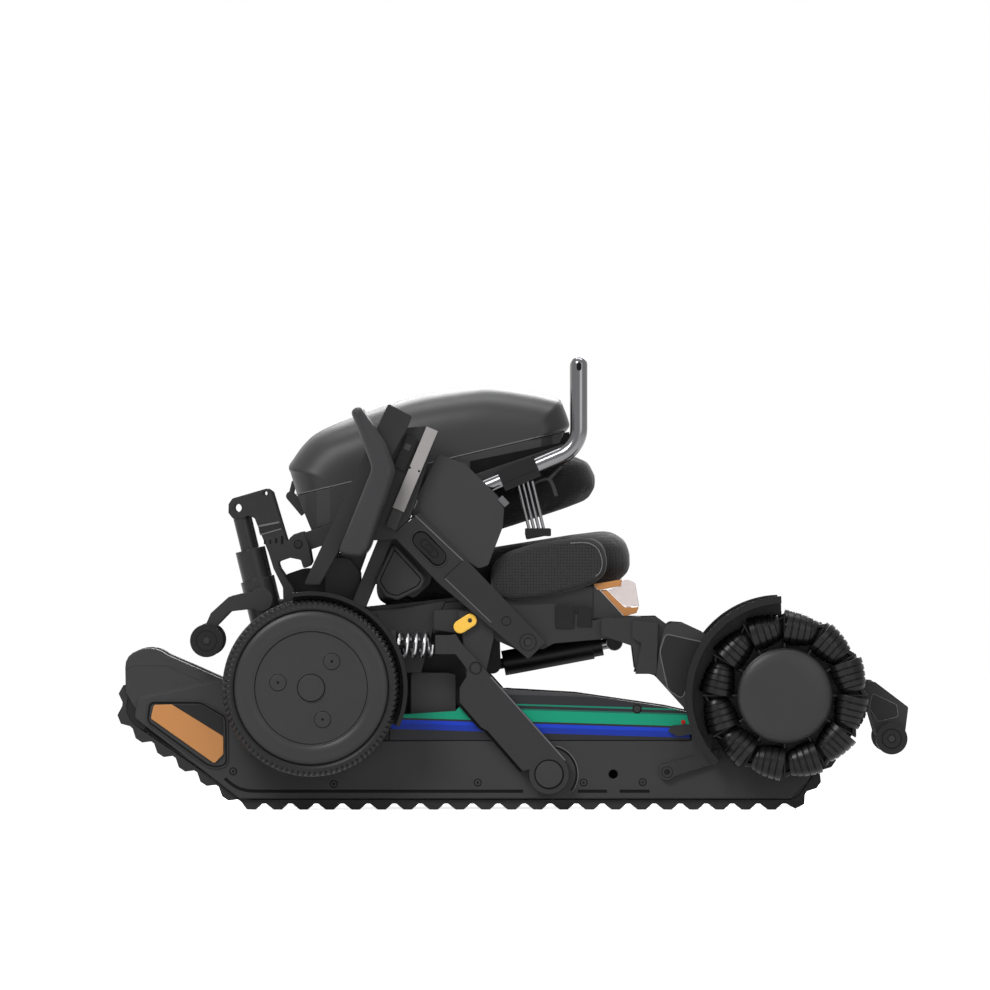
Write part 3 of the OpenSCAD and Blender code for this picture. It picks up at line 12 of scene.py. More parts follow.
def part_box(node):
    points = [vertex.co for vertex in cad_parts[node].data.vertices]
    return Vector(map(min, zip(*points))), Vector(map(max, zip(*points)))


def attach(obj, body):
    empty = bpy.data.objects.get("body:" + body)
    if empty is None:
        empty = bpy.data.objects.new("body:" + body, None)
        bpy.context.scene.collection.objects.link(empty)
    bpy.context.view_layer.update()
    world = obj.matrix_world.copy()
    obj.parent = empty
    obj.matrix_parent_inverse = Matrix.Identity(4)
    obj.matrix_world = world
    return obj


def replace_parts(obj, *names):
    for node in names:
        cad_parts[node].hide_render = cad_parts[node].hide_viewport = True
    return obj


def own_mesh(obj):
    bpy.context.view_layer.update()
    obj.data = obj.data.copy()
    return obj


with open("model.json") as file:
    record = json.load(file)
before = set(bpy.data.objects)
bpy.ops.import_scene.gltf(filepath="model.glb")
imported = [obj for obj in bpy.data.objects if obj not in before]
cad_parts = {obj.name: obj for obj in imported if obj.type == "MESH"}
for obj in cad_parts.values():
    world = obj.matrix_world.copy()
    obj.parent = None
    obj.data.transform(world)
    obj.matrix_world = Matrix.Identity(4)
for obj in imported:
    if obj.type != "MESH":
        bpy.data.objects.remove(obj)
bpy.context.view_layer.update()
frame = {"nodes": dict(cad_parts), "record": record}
nodes = frame["nodes"]
scene = bpy.context.scene
MM = 0.001
SIDES = ((1, "left"), (-1, "right"))


# Node helpers

MIX_FIRST, MIX_SECOND, MIX_RESULT = 6, 7, 2
BEVEL_SAMPLES = 4


def new_material(name):
    material = bpy.data.materials.new(name)
    material.use_nodes = True
    tree = material.node_tree
    return material, tree, tree.nodes["Principled BSDF"]


def link(tree, a, b):
    tree.links.new(a, b)


def set_inputs(item, values):
    for key, value in values.items():
        item.inputs[key].default_value = value


def add_node(tree, kind, **values):
    item = tree.nodes.new(kind)
    for key, value in values.items():
        if hasattr(item, key):
            setattr(item, key, value)
        else:
            item.inputs[key].default_value = value
    return item


def calc(tree, operation, *terms):
    """A math node's result, from numbers or other results."""
    item = add_node(tree, "ShaderNodeMath", operation=operation)
    for socket, term in zip(item.inputs, terms):
        if isinstance(term, float):
            socket.default_value = term
        else:
            link(tree, term, socket)
    return item.outputs[0]


def split(tree, vector):
    item = add_node(tree, "ShaderNodeSeparateXYZ")
    link(tree, vector, item.inputs["Vector"])
    return item.outputs


def object_coords(tree):
    return add_node(tree, "ShaderNodeTexCoord").outputs["Object"]


def noise(tree, scale, detail=3.0):
    texture = add_node(tree, "ShaderNodeTexNoise", Scale=scale, Detail=detail)
    link(tree, object_coords(tree), texture.inputs["Vector"])
    return texture.outputs["Fac"]


def spread(tree, value, low, high, start=0.0, end=1.0, ease="LINEAR"):
    """A value between start and end, carried over to low and high."""
    item = add_node(tree, "ShaderNodeMapRange", interpolation_type=ease)
    set_inputs(item, {"From Min": start, "From Max": end, "To Min": low, "To Max": high})
    link(tree, value, item.inputs["Value"])
    return item.outputs["Result"]


def blended(tree, share, first, second):
    """Two colours mixed by a share."""
    item = add_node(tree, "ShaderNodeMix", data_type="RGBA")
    item.inputs[MIX_FIRST].default_value = list(first) + [1]
    item.inputs[MIX_SECOND].default_value = list(second) + [1]
    link(tree, share, item.inputs[0])
    return item


def bumped(tree, height, strength, depth):
    item = add_node(tree, "ShaderNodeBump", Strength=strength, Distance=depth)
    link(tree, height, item.inputs["Height"])
    return item


def rounded_normal(tree, radius):
    return add_node(tree, "ShaderNodeBevel", samples=BEVEL_SAMPLES, Radius=radius).outputs["Normal"]


# Materials

GRAIN_DEPTH = 0.0006
COAT_ROUGHNESS = 0.08
CLOUD_SCALE = 14.0
WEAR_SCALE = 40.0
WEAR_SHARE = 0.12


def surface(name, colour, rough, metal=0.0, specular=0.18, coat=0.0, grain=900.0, relief=0.05,
            edge=0.0012, vary=0.12):
    """A finish with fine moulded grain, slight unevenness and softly rounded edges."""
    material, tree, shader = new_material(name)
    set_inputs(shader, {"Metallic": metal, "Specular IOR Level": specular, "Coat Weight": coat,
                        "Coat Roughness": COAT_ROUGHNESS})
    darker, lighter = ([c * (1 + way * vary) for c in colour] for way in (-1, 1))
    shade = blended(tree, noise(tree, CLOUD_SCALE), darker, lighter)
    link(tree, shade.outputs[MIX_RESULT], shader.inputs["Base Color"])
    worn = spread(tree, noise(tree, WEAR_SCALE), rough * (1 - WEAR_SHARE), rough * (1 + WEAR_SHARE))
    link(tree, worn, shader.inputs["Roughness"])
    bump = bumped(tree, noise(tree, grain), relief, GRAIN_DEPTH)
    if edge:
        link(tree, rounded_normal(tree, edge), bump.inputs["Normal"])
    link(tree, bump.outputs["Normal"], shader.inputs["Normal"])
    return material


FABRIC_CELLS = 230.0
CELL_JITTER = 0.15
HOLE_RADII = (0.16, 0.42)
HOLE_SHADE_SHARE = 0.25
WEAVE_STRENGTH = 0.5
WEAVE_DEPTH = 0.0012


def fabric(name, colour):
    """Black spacer fabric with rows of small perforations."""
    material, tree, shader = new_material(name)
    set_inputs(shader, {"Roughness": 0.85, "Specular IOR Level": 0.2, "Sheen Weight": 0.25,
                        "Sheen Roughness": 0.5})
    cells = add_node(tree, "ShaderNodeTexVoronoi", Scale=FABRIC_CELLS, Randomness=CELL_JITTER)
    link(tree, object_coords(tree), cells.inputs["Vector"])
    holes = spread(tree, cells.outputs["Distance"], 0.0, 1.0, *HOLE_RADII, "SMOOTHSTEP")
    shade = blended(tree, holes, [c * HOLE_SHADE_SHARE for c in colour], colour)
    link(tree, shade.outputs[MIX_RESULT], shader.inputs["Base Color"])
    bump = bumped(tree, holes, WEAVE_STRENGTH, WEAVE_DEPTH)
    link(tree, bump.outputs["Normal"], shader.inputs["Normal"])
    return material


CRISP_EDGE = 0.0015


def clear(name, colour):
    material, tree, shader = new_material(name)
    set_inputs(shader, {"Base Color": list(colour) + [1], "Transmission Weight": 0.85,
                        "Roughness": 0.06, "IOR": 1.46})
    link(tree, rounded_normal(tree, CRISP_EDGE), shader.inputs["Normal"])
    return material


FAIRING_DARK = (0.012, 0.0125, 0.015)
STRIPES = (
    (0.0, FAIRING_DARK),
    (0.16, (0.006, 0.03, 0.32)),
    (0.27, (0.010, 0.047, 0.52)),
    (0.34, FAIRING_DARK),
    (0.38, (0.004, 0.29, 0.165)),
    (0.6, (0.006, 0.13, 0.085)),
    (0.63, FAIRING_DARK),
    (0.69, (0.004, 0.2, 0.12)),
    (0.72, (0.014, 0.0145, 0.017)),
    (0.9, (0.045, 0.045, 0.048)),
)
STRIPE_LEAN = 0.03
STRIPE_BASE = 0.099
STRIPE_SPAN = 0.073
STRIPE_INNER = 0.186
STRIPE_UPRIGHT = 0.5
FAIRING_GREY = (0.05, 0.05, 0.052)


def striped(name):
    """Grey fairing with straight parallel stripes on its outer upright faces."""
    material, tree, shader = new_material(name)
    set_inputs(shader, {"Roughness": 0.36, "Specular IOR Level": 0.2})
    at = split(tree, object_coords(tree))
    height = calc(tree, "ADD", at["Z"], calc(tree, "MULTIPLY_ADD", at["X"], STRIPE_LEAN, -STRIPE_BASE))
    ramp = add_node(tree, "ShaderNodeValToRGB")
    ramp.color_ramp.interpolation = "CONSTANT"
    while len(ramp.color_ramp.elements) < len(STRIPES):
        ramp.color_ramp.elements.new(0.5)
    for element, (share, colour) in zip(ramp.color_ramp.elements, STRIPES):
        element.position = share
        element.color = list(colour) + [1]
    link(tree, calc(tree, "DIVIDE", height, STRIPE_SPAN), ramp.inputs["Fac"])
    facing = split(tree, add_node(tree, "ShaderNodeNewGeometry").outputs["Normal"])
    outer = calc(tree, "GREATER_THAN", calc(tree, "ABSOLUTE", at["Y"]), STRIPE_INNER)
    upright = calc(tree, "GREATER_THAN", calc(tree, "ABSOLUTE", facing["Y"]), STRIPE_UPRIGHT)
    shade = blended(tree, calc(tree, "MULTIPLY", outer, upright), FAIRING_GREY, FAIRING_GREY)
    link(tree, ramp.outputs["Color"], shade.inputs[MIX_SECOND])
    link(tree, shade.outputs[MIX_RESULT], shader.inputs["Base Color"])
    link(tree, rounded_normal(tree, CRISP_EDGE), shader.inputs["Normal"])
    return material


def grey(level, blue):
    return (level, level, blue)


def finish(colour, rough, **options):
    return dict(colour=colour, rough=rough, **options)


FINISHES = {
    "frame_paint": finish(grey(0.023, 0.0242), 0.4, edge=0.002),
    # dark_paint is also used as painted shade in the drive recess and on the bracket fold.
    "dark_paint": finish(grey(0.009, 0.0095), 0.38),
    "charcoal_plastic": finish(grey(0.03, 0.0314), 0.42, edge=0.002),
    "panel_plastic": finish(grey(0.031, 0.0324), 0.42, edge=0.004),
    "arm_plastic": finish(grey(0.018, 0.0189), 0.36, edge=0.003),
    "rim_plastic": finish(grey(0.029, 0.0303), 0.38, edge=0.003),
    "black_plastic": finish(grey(0.0045, 0.005), 0.34, edge=0.002),
    "case_shell": finish(grey(0.027, 0.028), 0.44, specular=0.22, grain=300.0, relief=0.012,
                         edge=0.002),
    "belt_rubber": finish(grey(0.021, 0.0215), 0.62, relief=0.12, edge=0.0008),
    "tyre_rubber": finish(grey(0.0105, 0.011), 0.4, relief=0.08, edge=0),
    "roller_rubber": finish(grey(0.007, 0.0075), 0.3, relief=0.03, edge=0.001),
    "stitch": finish(grey(0.34, 0.34), 0.7, edge=0),
    "pad_foam": finish(grey(0.03, 0.0314), 0.45, edge=0.004),
    "chrome": finish(grey(0.14, 0.145), 0.15, metal=1.0, grain=200.0, relief=0.008, edge=0),
    "steel": finish(grey(0.2, 0.207), 0.3, metal=1.0, edge=0.0006),
    "spring_steel": finish(grey(0.42, 0.43), 0.28, metal=1.0, edge=0),
    "silver_paint": finish((0.3, 0.283, 0.283), 0.42, edge=0.0008),
    "amber": finish((0.47, 0.195, 0.05), 0.3, specular=0.4, coat=0.15, relief=0.03, edge=0.002),
    "yellow_plastic": finish((0.95, 0.56, 0.085), 0.35, edge=0.003),
    "machine_metal": finish(grey(0.03, 0.032), 0.42, metal=0.4),
    # Near black for dark joints, slots and seams, and for painted shade in gaps, behind the swing arms and on
    # the tray.
    "gap_and_shade_black": finish(grey(0.0025, 0.0025), 0.7, specular=0.1, edge=0),
    "red_plastic": finish((0.5, 0.012, 0.012), 0.35, edge=0),
    "hub_cap": finish(grey(0.032, 0.0334), 0.38, edge=0.004),
    # Light grey strips along edges, rims and the lid's seam: painted highlights.
    "painted_highlight_grey": finish(grey(0.12, 0.124), 0.4, edge=0),
}
LOOKS = {name: surface(name, **values) for name, values in FINISHES.items()}
LOOKS["fairing"] = striped("fairing")
LOOKS["seat_fabric"] = fabric("seat_fabric", (0.012, 0.012, 0.0125))
LOOKS["panel_fabric"] = fabric("panel_fabric", (0.026, 0.026, 0.027))
LOOKS["clear_lens"] = clear("clear_lens", (0.92, 0.86, 0.85))

# The record's slot for looks that are only in this scene
NODE_LOOK = {
    "front_fenders": "black_plastic", "handle_clamps": "black_plastic", "carriage_frame": "frame_paint",
    "rear_struts": "arm_plastic",
}
PAIR_LOOK = {
    "rear_rim_": "rim_plastic", "omni_hub_": "black_plastic", "track_frame_": "panel_plastic",
    "arm_link_": "arm_plastic", "arm_body_": "arm_plastic",
}
for _, side in SIDES:
    NODE_LOOK.update({pair + side: look for pair, look in PAIR_LOOK.items()})
for row in frame["record"]["subparts"]:
    data = nodes[row["node"]].data
    data.materials.clear()
    data.materials.append(LOOKS[NODE_LOOK.get(row["node"], row["material_slot"])])


# Shapes, in millimetres in the model's frame

FLAT_FACE_CORNERS = 6


def grid_faces(rows, count, closed=True, ring=True):
    """Quads over rows of count points, closed from row to row and round each row, or open."""
    faces = []
    for i in range(rows if closed else rows - 1):
        j = (i + 1) % rows
        for k in range(count if ring else count - 1):
            m = (k + 1) % count
            faces.append((i * count + k, i * count + m, j * count + m, j * count + k))
    return faces


def capped_faces(rows, count):
    """Quads along an open row of rings, with a face at each end."""
    last = (rows - 1) * count
    return grid_faces(rows, count, False) + [tuple(range(count))[::-1], tuple(range(last, last + count))]


def across(sign, y0, y1):
    """Two distances from the middle, in rising order on one side."""
    return sorted((sign * y0, sign * y1))


class Shape:
    """Loose solids that become one mesh."""

    def __init__(self):
        self.points = []
        self.faces = []

    def add(self, points, faces):
        start = len(self.points)
        self.points.extend(tuple(p) for p in points)
        self.faces.extend(tuple(start + i for i in f) for f in faces)

    def slab(self, outline, y0, y1):
        self.add([(x, y, z) for y in (y0, y1) for x, z in outline], capped_faces(2, len(outline)))

    def band(self, inner, outer, y0, y1):
        """A closed frame between two outlines with as many points each."""
        rows = ((inner, y0), (outer, y0), (outer, y1), (inner, y1))
        self.add([(x, y, z) for line, y in rows for x, z in line], grid_faces(len(rows), len(inner)))

    def tube(self, path, r, n=10, closed=False):
        """A round tube along a path, of one radius or of one at each point."""
        path = [Vector(p) for p in path]
        radii = r if isinstance(r, list) else [r] * len(path)
        count = len(path)
        points = []
        up = None
        for i, p in enumerate(path):
            a = path[i - 1] if closed or i > 0 else p
            b = path[(i + 1) % count] if closed or i < count - 1 else p
            way = (b - a).normalized()
            if up is None:
                up = way.orthogonal().normalized()
            up = (up - way * up.dot(way)).normalized()
            side = way.cross(up)
            for k in range(n):
                turn = tau * k / n
                points.append(p + (up * cos(turn) + side * sin(turn)) * radii[i])
        self.add(points, grid_faces(count, n) if closed else capped_faces(count, n))

    def piece(self, name, look, body, smooth=0.6):
        mesh = bpy.data.meshes.new(name)
        mesh.from_pydata([tuple(c * MM for c in p) for p in self.points], [], self.faces)
        work = bmesh.new()
        work.from_mesh(mesh)
        bmesh.ops.recalc_face_normals(work, faces=work.faces)
        work.to_mesh(mesh)
        work.free()
        mesh.polygons.foreach_set("use_smooth", [True] * len(mesh.polygons))
        mesh.set_sharp_from_angle(angle=smooth)
        edges = {edge.key: edge for edge in mesh.edges}
        for face in mesh.polygons:
            if len(face.vertices) > FLAT_FACE_CORNERS:
                for key in face.edge_keys:
                    edges[key].use_edge_sharp = True
        mesh.materials.append(LOOKS[look])
        item = bpy.data.objects.new(name, mesh)
        scene.collection.objects.link(item)
        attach(item, body)
        return item


def polar(at, r, turn):
    return (at[0] + r * cos(turn), at[1] + r * sin(turn))


def circle(at, r, n=40):
    return [polar(at, r, tau * k / n) for k in range(n)]


def arc(at, r, a0, a1, n=28):
    return [polar(at, r, radians(a0 + (a1 - a0) * k / n)) for k in range(n + 1)]


def arc_band(at, r0, r1, a0, a1):
    return arc(at, r0, a0, a1) + arc(at, r1, a1, a0)


def bar(p, q, w):
    p, q = Vector(p), Vector(q)
    way = (q - p).normalized()
    side = Vector((-way.y, way.x)) * w / 2
    return [tuple(p + side), tuple(p - side), tuple(q - side), tuple(q + side)]


def capsule(p, q, w, n=10):
    """A bar with round ends."""
    p, q = Vector(p), Vector(q)
    start = atan2((q - p).y, (q - p).x)
    points = []
    for centre, turn in ((q, start - pi / 2), (p, start + pi / 2)):
        points += [polar(centre, w / 2, turn + pi * k / n) for k in range(n + 1)]
    return points


CORNER_REACH_SHARE = 0.45


def softened(outline, r, n=5):
    """An outline with rounded corners."""
    points = []
    count = len(outline)
    for i, p in enumerate(outline):
        p = Vector(p)
        a = Vector(outline[i - 1]) - p
        b = Vector(outline[(i + 1) % count]) - p
        reach = min(r, a.length * CORNER_REACH_SHARE, b.length * CORNER_REACH_SHARE)
        start, end = p + a.normalized() * reach, p + b.normalized() * reach
        for k in range(n + 1):
            t = k / n
            points.append(tuple(start * (1 - t) ** 2 + p * 2 * t * (1 - t) + end * t ** 2))
    return points


SHARPEST_CORNER = 0.4
TINY = 1e-6


def grown(outline, by):
    """An outline moved outwards by a distance, about its own corners."""
    count = len(outline)
    area = sum(
        outline[i - 1][0] * outline[i][1] - outline[i][0] * outline[i - 1][1] for i in range(count)
    )
    sign = 1 if area > 0 else -1
    points = []
    for i, p in enumerate(outline):
        a = (Vector(p) - Vector(outline[i - 1])).normalized()
        b = (Vector(outline[(i + 1) % count]) - Vector(p)).normalized()
        n = Vector((a.y + b.y, -a.x - b.x)) * sign
        n = n.normalized() if n.length > TINY else Vector((a.y, -a.x)) * sign
        half = max(SHARPEST_CORNER, n.dot(Vector((a.y, -a.x)) * sign))
        points.append(tuple(Vector(p) + n * by / half))
    return points


def smooth_path(points, steps=8):
    """A curve through the points."""
    points = [Vector(p) for p in points]
    count = len(points)
    out = []
    for i in range(count - 1):
        p0, p1 = points[max(i - 1, 0)], points[i]
        p2, p3 = points[i + 1], points[min(i + 2, count - 1)]
        for k in range(steps):
            t = k / steps
            out.append(
                0.5 * ((2 * p1) + (p2 - p0) * t + (2 * p0 - 5 * p1 + 4 * p2 - p3) * t * t
                       + (3 * p1 - p0 - 3 * p2 + p3) * t ** 3)
            )
    out.append(points[-1])
    return out


def even(path, pitch):
    """Points at an even pitch along a path."""
    found, left = [path[0]], pitch
    for a, b in zip(path, path[1:]):
        length = (b - a).length
        while left <= length:
            found.append(a.lerp(b, left / length))
            left += pitch
        left -= length
    return found


def on(face, height, *outlines):
    """Rows of outlines that stand on a face by a height."""
    return [(outline, face, face + height) for outline in outlines]


def rings(face, height, *rows, n=40):
    """Rows of flat rings (centre, inner radius, outer radius) that stand on a face."""
    return [(circle(at, r0, n), circle(at, r1, n), face, face + height) for at, r0, r1 in rows]


def details(name, look, body, rows, sides=SIDES):
    """Rows of (outline, y0, y1), or of (inner, outer, y0, y1) for a frame, drawn on each of the sides."""
    shape = Shape()
    for *lines, y0, y1 in rows:
        draw = shape.slab if len(lines) == 1 else shape.band
        for sign, _ in sides:
            draw(*lines, *across(sign, y0, y1))
    shape.piece(name, look, body)


def revolved(shape, at, profile, sign, n=72):
    """A closed ring of rows (radius, distance across) about an axle."""
    points = []
    for i in range(n):
        for r, y in profile:
            x, z = polar(at, r, tau * i / n)
            points.append((x, sign * y, z))
    shape.add(points, grid_faces(n, len(profile)))


def soft_pad(name, look, body, outline, rows, sign, r=9):
    """A padded slab with rounded faces, from rows of (distance across, inset)."""
    line = softened(outline, r, 4)
    points = [(x, sign * y, z) for y, inset in rows for x, z in grown(line, -inset)]
    shape = Shape()
    shape.add(points, capped_faces(len(rows), len(line)))
    return shape.piece(name, look, body, 0.9)


# Outer faces of the solids, as distances from the middle, and heights that details stand off them

POD_OUT = 226.0
LINK_OUT = 250.0
WHEEL_OUT = 316.0
COVER_OUT = 223.0
RAIL_OUT = 226.0
PLATE_OUT = 214.0
DRIVE_OUT = 251.0
GUIDE_ARM_OUT = 242.0
CASTER_OUT = 254.4
GUIDE_OUT = 264.4
HAIR, FILM, SKIN, THIN, LOW = 0.12, 0.15, 0.2, 0.3, 0.5


# Tracks

def track(name, look, rows):
    details(name, look, "tracks", rows)


SUNK = 0.2
PANEL_SCREWS = [(-399, 55), (-255, 37), (-49, 39), (102.5, 39), (187, 39.5)]
SCREW_R, SCREW_RING_R, SCREW_SOCKET_R = 4.3, 5.7, 1.872
RING_H = 0.25
GROOVE_SHADE_W = 4.6
GROOVE_SHADE_Z = 26.6
GROOVE_SHADE_BEND = [(-411, 45), (-402, 37), (-391, 30.5), (-378, 27.2), (-360, GROOVE_SHADE_Z)]
GROOVE_SHADE_RUNS = [(-360, 16), (94, 136), (154, 197)]
AMBER_INSERT = softened([(-483, 150), (-446, 150), (-413.5, 131), (-413.5, 104), (-416, 101)], 2)
AMBER_FRAME = softened(
    [(-517, 152), (-446, 152), (-411, 132), (-410, 66), (-424, 62), (-436, 66), (-520, 127)], 6
)
AMBER_GAP, AMBER_RIM = 2.2, 5.0
AMBER_INSERT_H, AMBER_FRAME_H, AMBER_RIM_H = 1.0, 0.8, 1.4
FAIRING_SCREW = (179, 144.3)
FAIRING_SCREW_R, FAIRING_RING_R, FAIRING_SCREW_H = 5.0, 6.6, 1.0
INDICATOR = (245, 125.6)
INDICATOR_R, INDICATOR_H = 3.0, 1.4
SEAM_Z = 99.2
SEAM_X = (-180.0, 254.0)
SEAM_END, SEAM_CORE, SEAM_W, SEAM_SUNK = 0.5, 0.2, 1.6, 0.1
TENSION_AT = (222, 54)
TENSION_FACE = POD_OUT + 6.9
TENSION_RADII = (7.4, 8.3)


def track_details():
    track("track_screw_heads", "charcoal_plastic",
          on(POD_OUT, LOW, *(circle(p, SCREW_R) for p in PANEL_SCREWS)))
    track("track_screw_rings", "gap_and_shade_black",
          rings(POD_OUT, RING_H, *((p, SCREW_R, SCREW_RING_R) for p in PANEL_SCREWS)))
    track("track_screw_sockets", "gap_and_shade_black",
          on(POD_OUT + LOW, HAIR, *(circle(p, SCREW_SOCKET_R, 6) for p in PANEL_SCREWS)))
    runs = list(zip(GROOVE_SHADE_BEND, GROOVE_SHADE_BEND[1:]))
    runs += [((x0, GROOVE_SHADE_Z), (x1, GROOVE_SHADE_Z)) for x0, x1 in GROOVE_SHADE_RUNS]
    # A dark band in the real gap between the panel and the belt, widened as painted shade.
    track("track_groove_shade", "gap_and_shade_black",
          on(POD_OUT - SUNK, SUNK + HAIR, *(bar(a, b, GROOVE_SHADE_W) for a, b in runs)))
    track("amber_insert", "dark_paint", on(POD_OUT, AMBER_INSERT_H, AMBER_INSERT))
    gap, rim = grown(AMBER_FRAME, AMBER_GAP), grown(AMBER_FRAME, AMBER_RIM)
    track("amber_frame", "gap_and_shade_black", [(AMBER_FRAME, gap, POD_OUT, POD_OUT + AMBER_FRAME_H)])
    track("amber_rim", "frame_paint", [(gap, rim, POD_OUT, POD_OUT + AMBER_RIM_H)])
    track("fairing_screw", "frame_paint",
          on(POD_OUT, FAIRING_SCREW_H, circle(FAIRING_SCREW, FAIRING_SCREW_R)))
    track("fairing_screw_ring", "gap_and_shade_black",
          rings(POD_OUT, LOW, (FAIRING_SCREW, FAIRING_SCREW_R, FAIRING_RING_R)))
    track("track_indicator", "red_plastic", on(POD_OUT, INDICATOR_H, circle(INDICATOR, INDICATOR_R)))
    core = bar((SEAM_X[0], SEAM_Z), (SEAM_X[1], SEAM_Z), SEAM_CORE)
    line = bar((SEAM_X[0] - SEAM_END, SEAM_Z), (SEAM_X[1] + SEAM_END, SEAM_Z), SEAM_W)
    track("track_seam", "gap_and_shade_black", [(core, line, POD_OUT - SEAM_SUNK, POD_OUT + HAIR)])
    track("tension_ring", "gap_and_shade_black", rings(TENSION_FACE, RING_H, (TENSION_AT, *TENSION_RADII)))


track_details()


# Rear wheels: tread of slanted blocks that meet in a V at the shoulder

REAR_AXLE = (-287.0, 175.0)
TYRE_W = 62.0
TREAD_N = 96
TREAD_STEPS = 8
TREAD_LEAN_SHARE = 0.15
BLOCK_HALF_SHARE = 0.36
BLOCK_EASE_SHARE = 0.06
BLOCK_H, SHOULDER_H, LUG_DEPTH = 2.5, 1.2, 1.5
FIRST_LUG_ROW, LAST_LUG_ROW, MEETING_ROW = 3, 6, 7
LUG_EASE_ROWS = 3
TYRE_PROFILE = [
    (111.02, 4), (112.5, 2.2), (115, 0.9), (117.5, 0.3), (119.5, 0.6), (121, 1.6), (122.4, 3.2), (123.4, 5.2),
    (124, 7.6), (124.3, 10.5), (124.4, 14), (124.4, 18), (124.4, 22), (124.4, 26), (124.4, 31)
]


def tread_height(step, row):
    """How far a tread block is raised at a step round the tyre: 0 in a groove, 1 on a block."""
    if row < FIRST_LUG_ROW:
        return 0.0
    phase = (step / TREAD_STEPS + TREAD_LEAN_SHARE * abs(row - MEETING_ROW)) % 1.0
    raised = min(1.0, max(0.0, (BLOCK_HALF_SHARE - abs(phase - 0.5)) / BLOCK_EASE_SHARE))
    return raised * min(1.0, (row - FIRST_LUG_ROW + 1) / LUG_EASE_ROWS)


def tyre(sign, side):
    middle = WHEEL_OUT - TYRE_W / 2
    numbered = list(enumerate(TYRE_PROFILE))
    rows = [(r, WHEEL_OUT - TYRE_W + y, row) for row, (r, y) in numbered]
    rows += [(r, WHEEL_OUT - y, row) for row, (r, y) in numbered[-2::-1]]
    around = TREAD_N * TREAD_STEPS
    points = []
    for i in range(around):
        for r, y, row in rows:
            raised = tread_height(i, row)
            x, z = polar(REAR_AXLE, r + (BLOCK_H if row > LAST_LUG_ROW else SHOULDER_H) * raised,
                         tau * i / around)
            if FIRST_LUG_ROW <= row <= LAST_LUG_ROW:
                y += (LUG_DEPTH if y < middle else -LUG_DEPTH) * (1 - raised)
            points.append((x, sign * y, z))
    shape = Shape()
    shape.add(points, grid_faces(around, len(rows)))
    item = shape.piece("tyre_tread_" + side, "tyre_rubber", "rear_wheel_" + side, 0.55)
    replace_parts(item, "rear_tyre_" + side)


RIM_FACE = WHEEL_OUT - 6
CAP_H = 1.2
CAP_RING = 48.0
CAP_ANGLES = (52, 171, 290)
CAP_SOCKET_R = 2.0
CAP_RADII = (11.5, 12.3)
RIM_HUB_RADII = (19, 20.2)
RIM_GAP_RADII = (80, 82.6)
RIM_GAP_H = 0.4


def rim_marks(sign, side):
    one = ((sign, side),)
    spots = [polar(REAR_AXLE, CAP_RING, radians(a)) for a in CAP_ANGLES]
    details("rim_sockets_" + side, "gap_and_shade_black", "rear_wheel_" + side,
            on(RIM_FACE + CAP_H, HAIR, *(circle(p, CAP_SOCKET_R, 16) for p in spots)), one)
    rows = rings(RIM_FACE, FILM, *((p, *CAP_RADII) for p in spots))
    rows += rings(RIM_FACE, FILM, (REAR_AXLE, *RIM_HUB_RADII), n=64)
    rows += rings(RIM_FACE, RIM_GAP_H, (REAR_AXLE, *RIM_GAP_RADII), n=96)
    details("rim_rings_" + side, "gap_and_shade_black", "rear_wheel_" + side, rows, one)


for sign, side in SIDES:
    tyre(sign, side)
    rim_marks(sign, side)


# Turned covers of the wheels: rows of (radius, distance from the middle)

RIM_DISH = [(82.2, 309), (82.6, 311), (84.5, 312.4), (90, 313.6), (97, 314.2), (103, 313.8), (108, 312.4),
            (110.6, 310), (110.6, 309)]
FRONT_AXLE = (389.5, 164.0)
HUB_LOW, HUB_TOP = 311, 315
HUB_MIDDLE_R = 1.2
HUB_DOME = [(1.0, HUB_LOW), (1.0, HUB_TOP), (22, 314.8), (40, 314.2), (52, 313.2), (60, 311.6), (64.5, 309.2),
            (66.6, 306), (67.2, 306), (67.2, 304.6), (60, 304.6), (55, HUB_LOW)]
for sign, side in SIDES:
    dish = Shape()
    revolved(dish, REAR_AXLE, RIM_DISH, sign)
    dish.piece("rim_dish_" + side, "rim_plastic", "rear_wheel_" + side, 0.5)
    dome = Shape()
    revolved(dome, FRONT_AXLE, HUB_DOME, sign)
    dome.slab(circle(FRONT_AXLE, HUB_MIDDLE_R, 12), *across(sign, HUB_LOW, HUB_TOP))
    dome.piece("hub_dome_" + side, "hub_cap", "front_wheel_" + side, 0.5)


# Front roller wheels: ribbed rollers, each with its narrow end in the next one's cup

OMNI_MID = 283.0
ROLLER_RING = 98.5
ROLLER_N = 12
ROLLER_TILT = radians(12)
ROLLER_PROFILE = [
    (4.2, 8), (20.5, 8), (22.6, 1.6), (24.4, 1.6), (25, 2.4), (25, 9.6), (23.2, 10.4), (23.2, 11.4),
    (24.6, 12.2), (24.2, 19.4), (22.2, 20.2), (22.2, 21.2), (23.4, 22), (22.6, 28.6), (20.6, 29.4),
    (20.6, 30.4), (21.6, 31.2), (20.2, 37.6), (18.2, 38.4), (18.2, 39.2), (18.8, 40), (17.2, 44.6),
    (16, 46), (4.2, 46)
]


def roller(shape, sign, a, n=36):
    """One roller, from its spoke along the wheel's rim."""
    out = Vector((cos(a), 0, sin(a)))
    way = Vector((out.z, 0, -out.x)) * cos(ROLLER_TILT) - out * sin(ROLLER_TILT)
    side = Vector((0, 1, 0))
    up = way.cross(side)
    start = Vector((FRONT_AXLE[0], sign * OMNI_MID, FRONT_AXLE[1])) + out * ROLLER_RING
    points = []
    for i in range(n):
        turn = tau * i / n
        arm = side * cos(turn) + up * sin(turn)
        points += [start + way * t + arm * r for r, t in ROLLER_PROFILE]
    shape.add(points, grid_faces(n, len(ROLLER_PROFILE)))


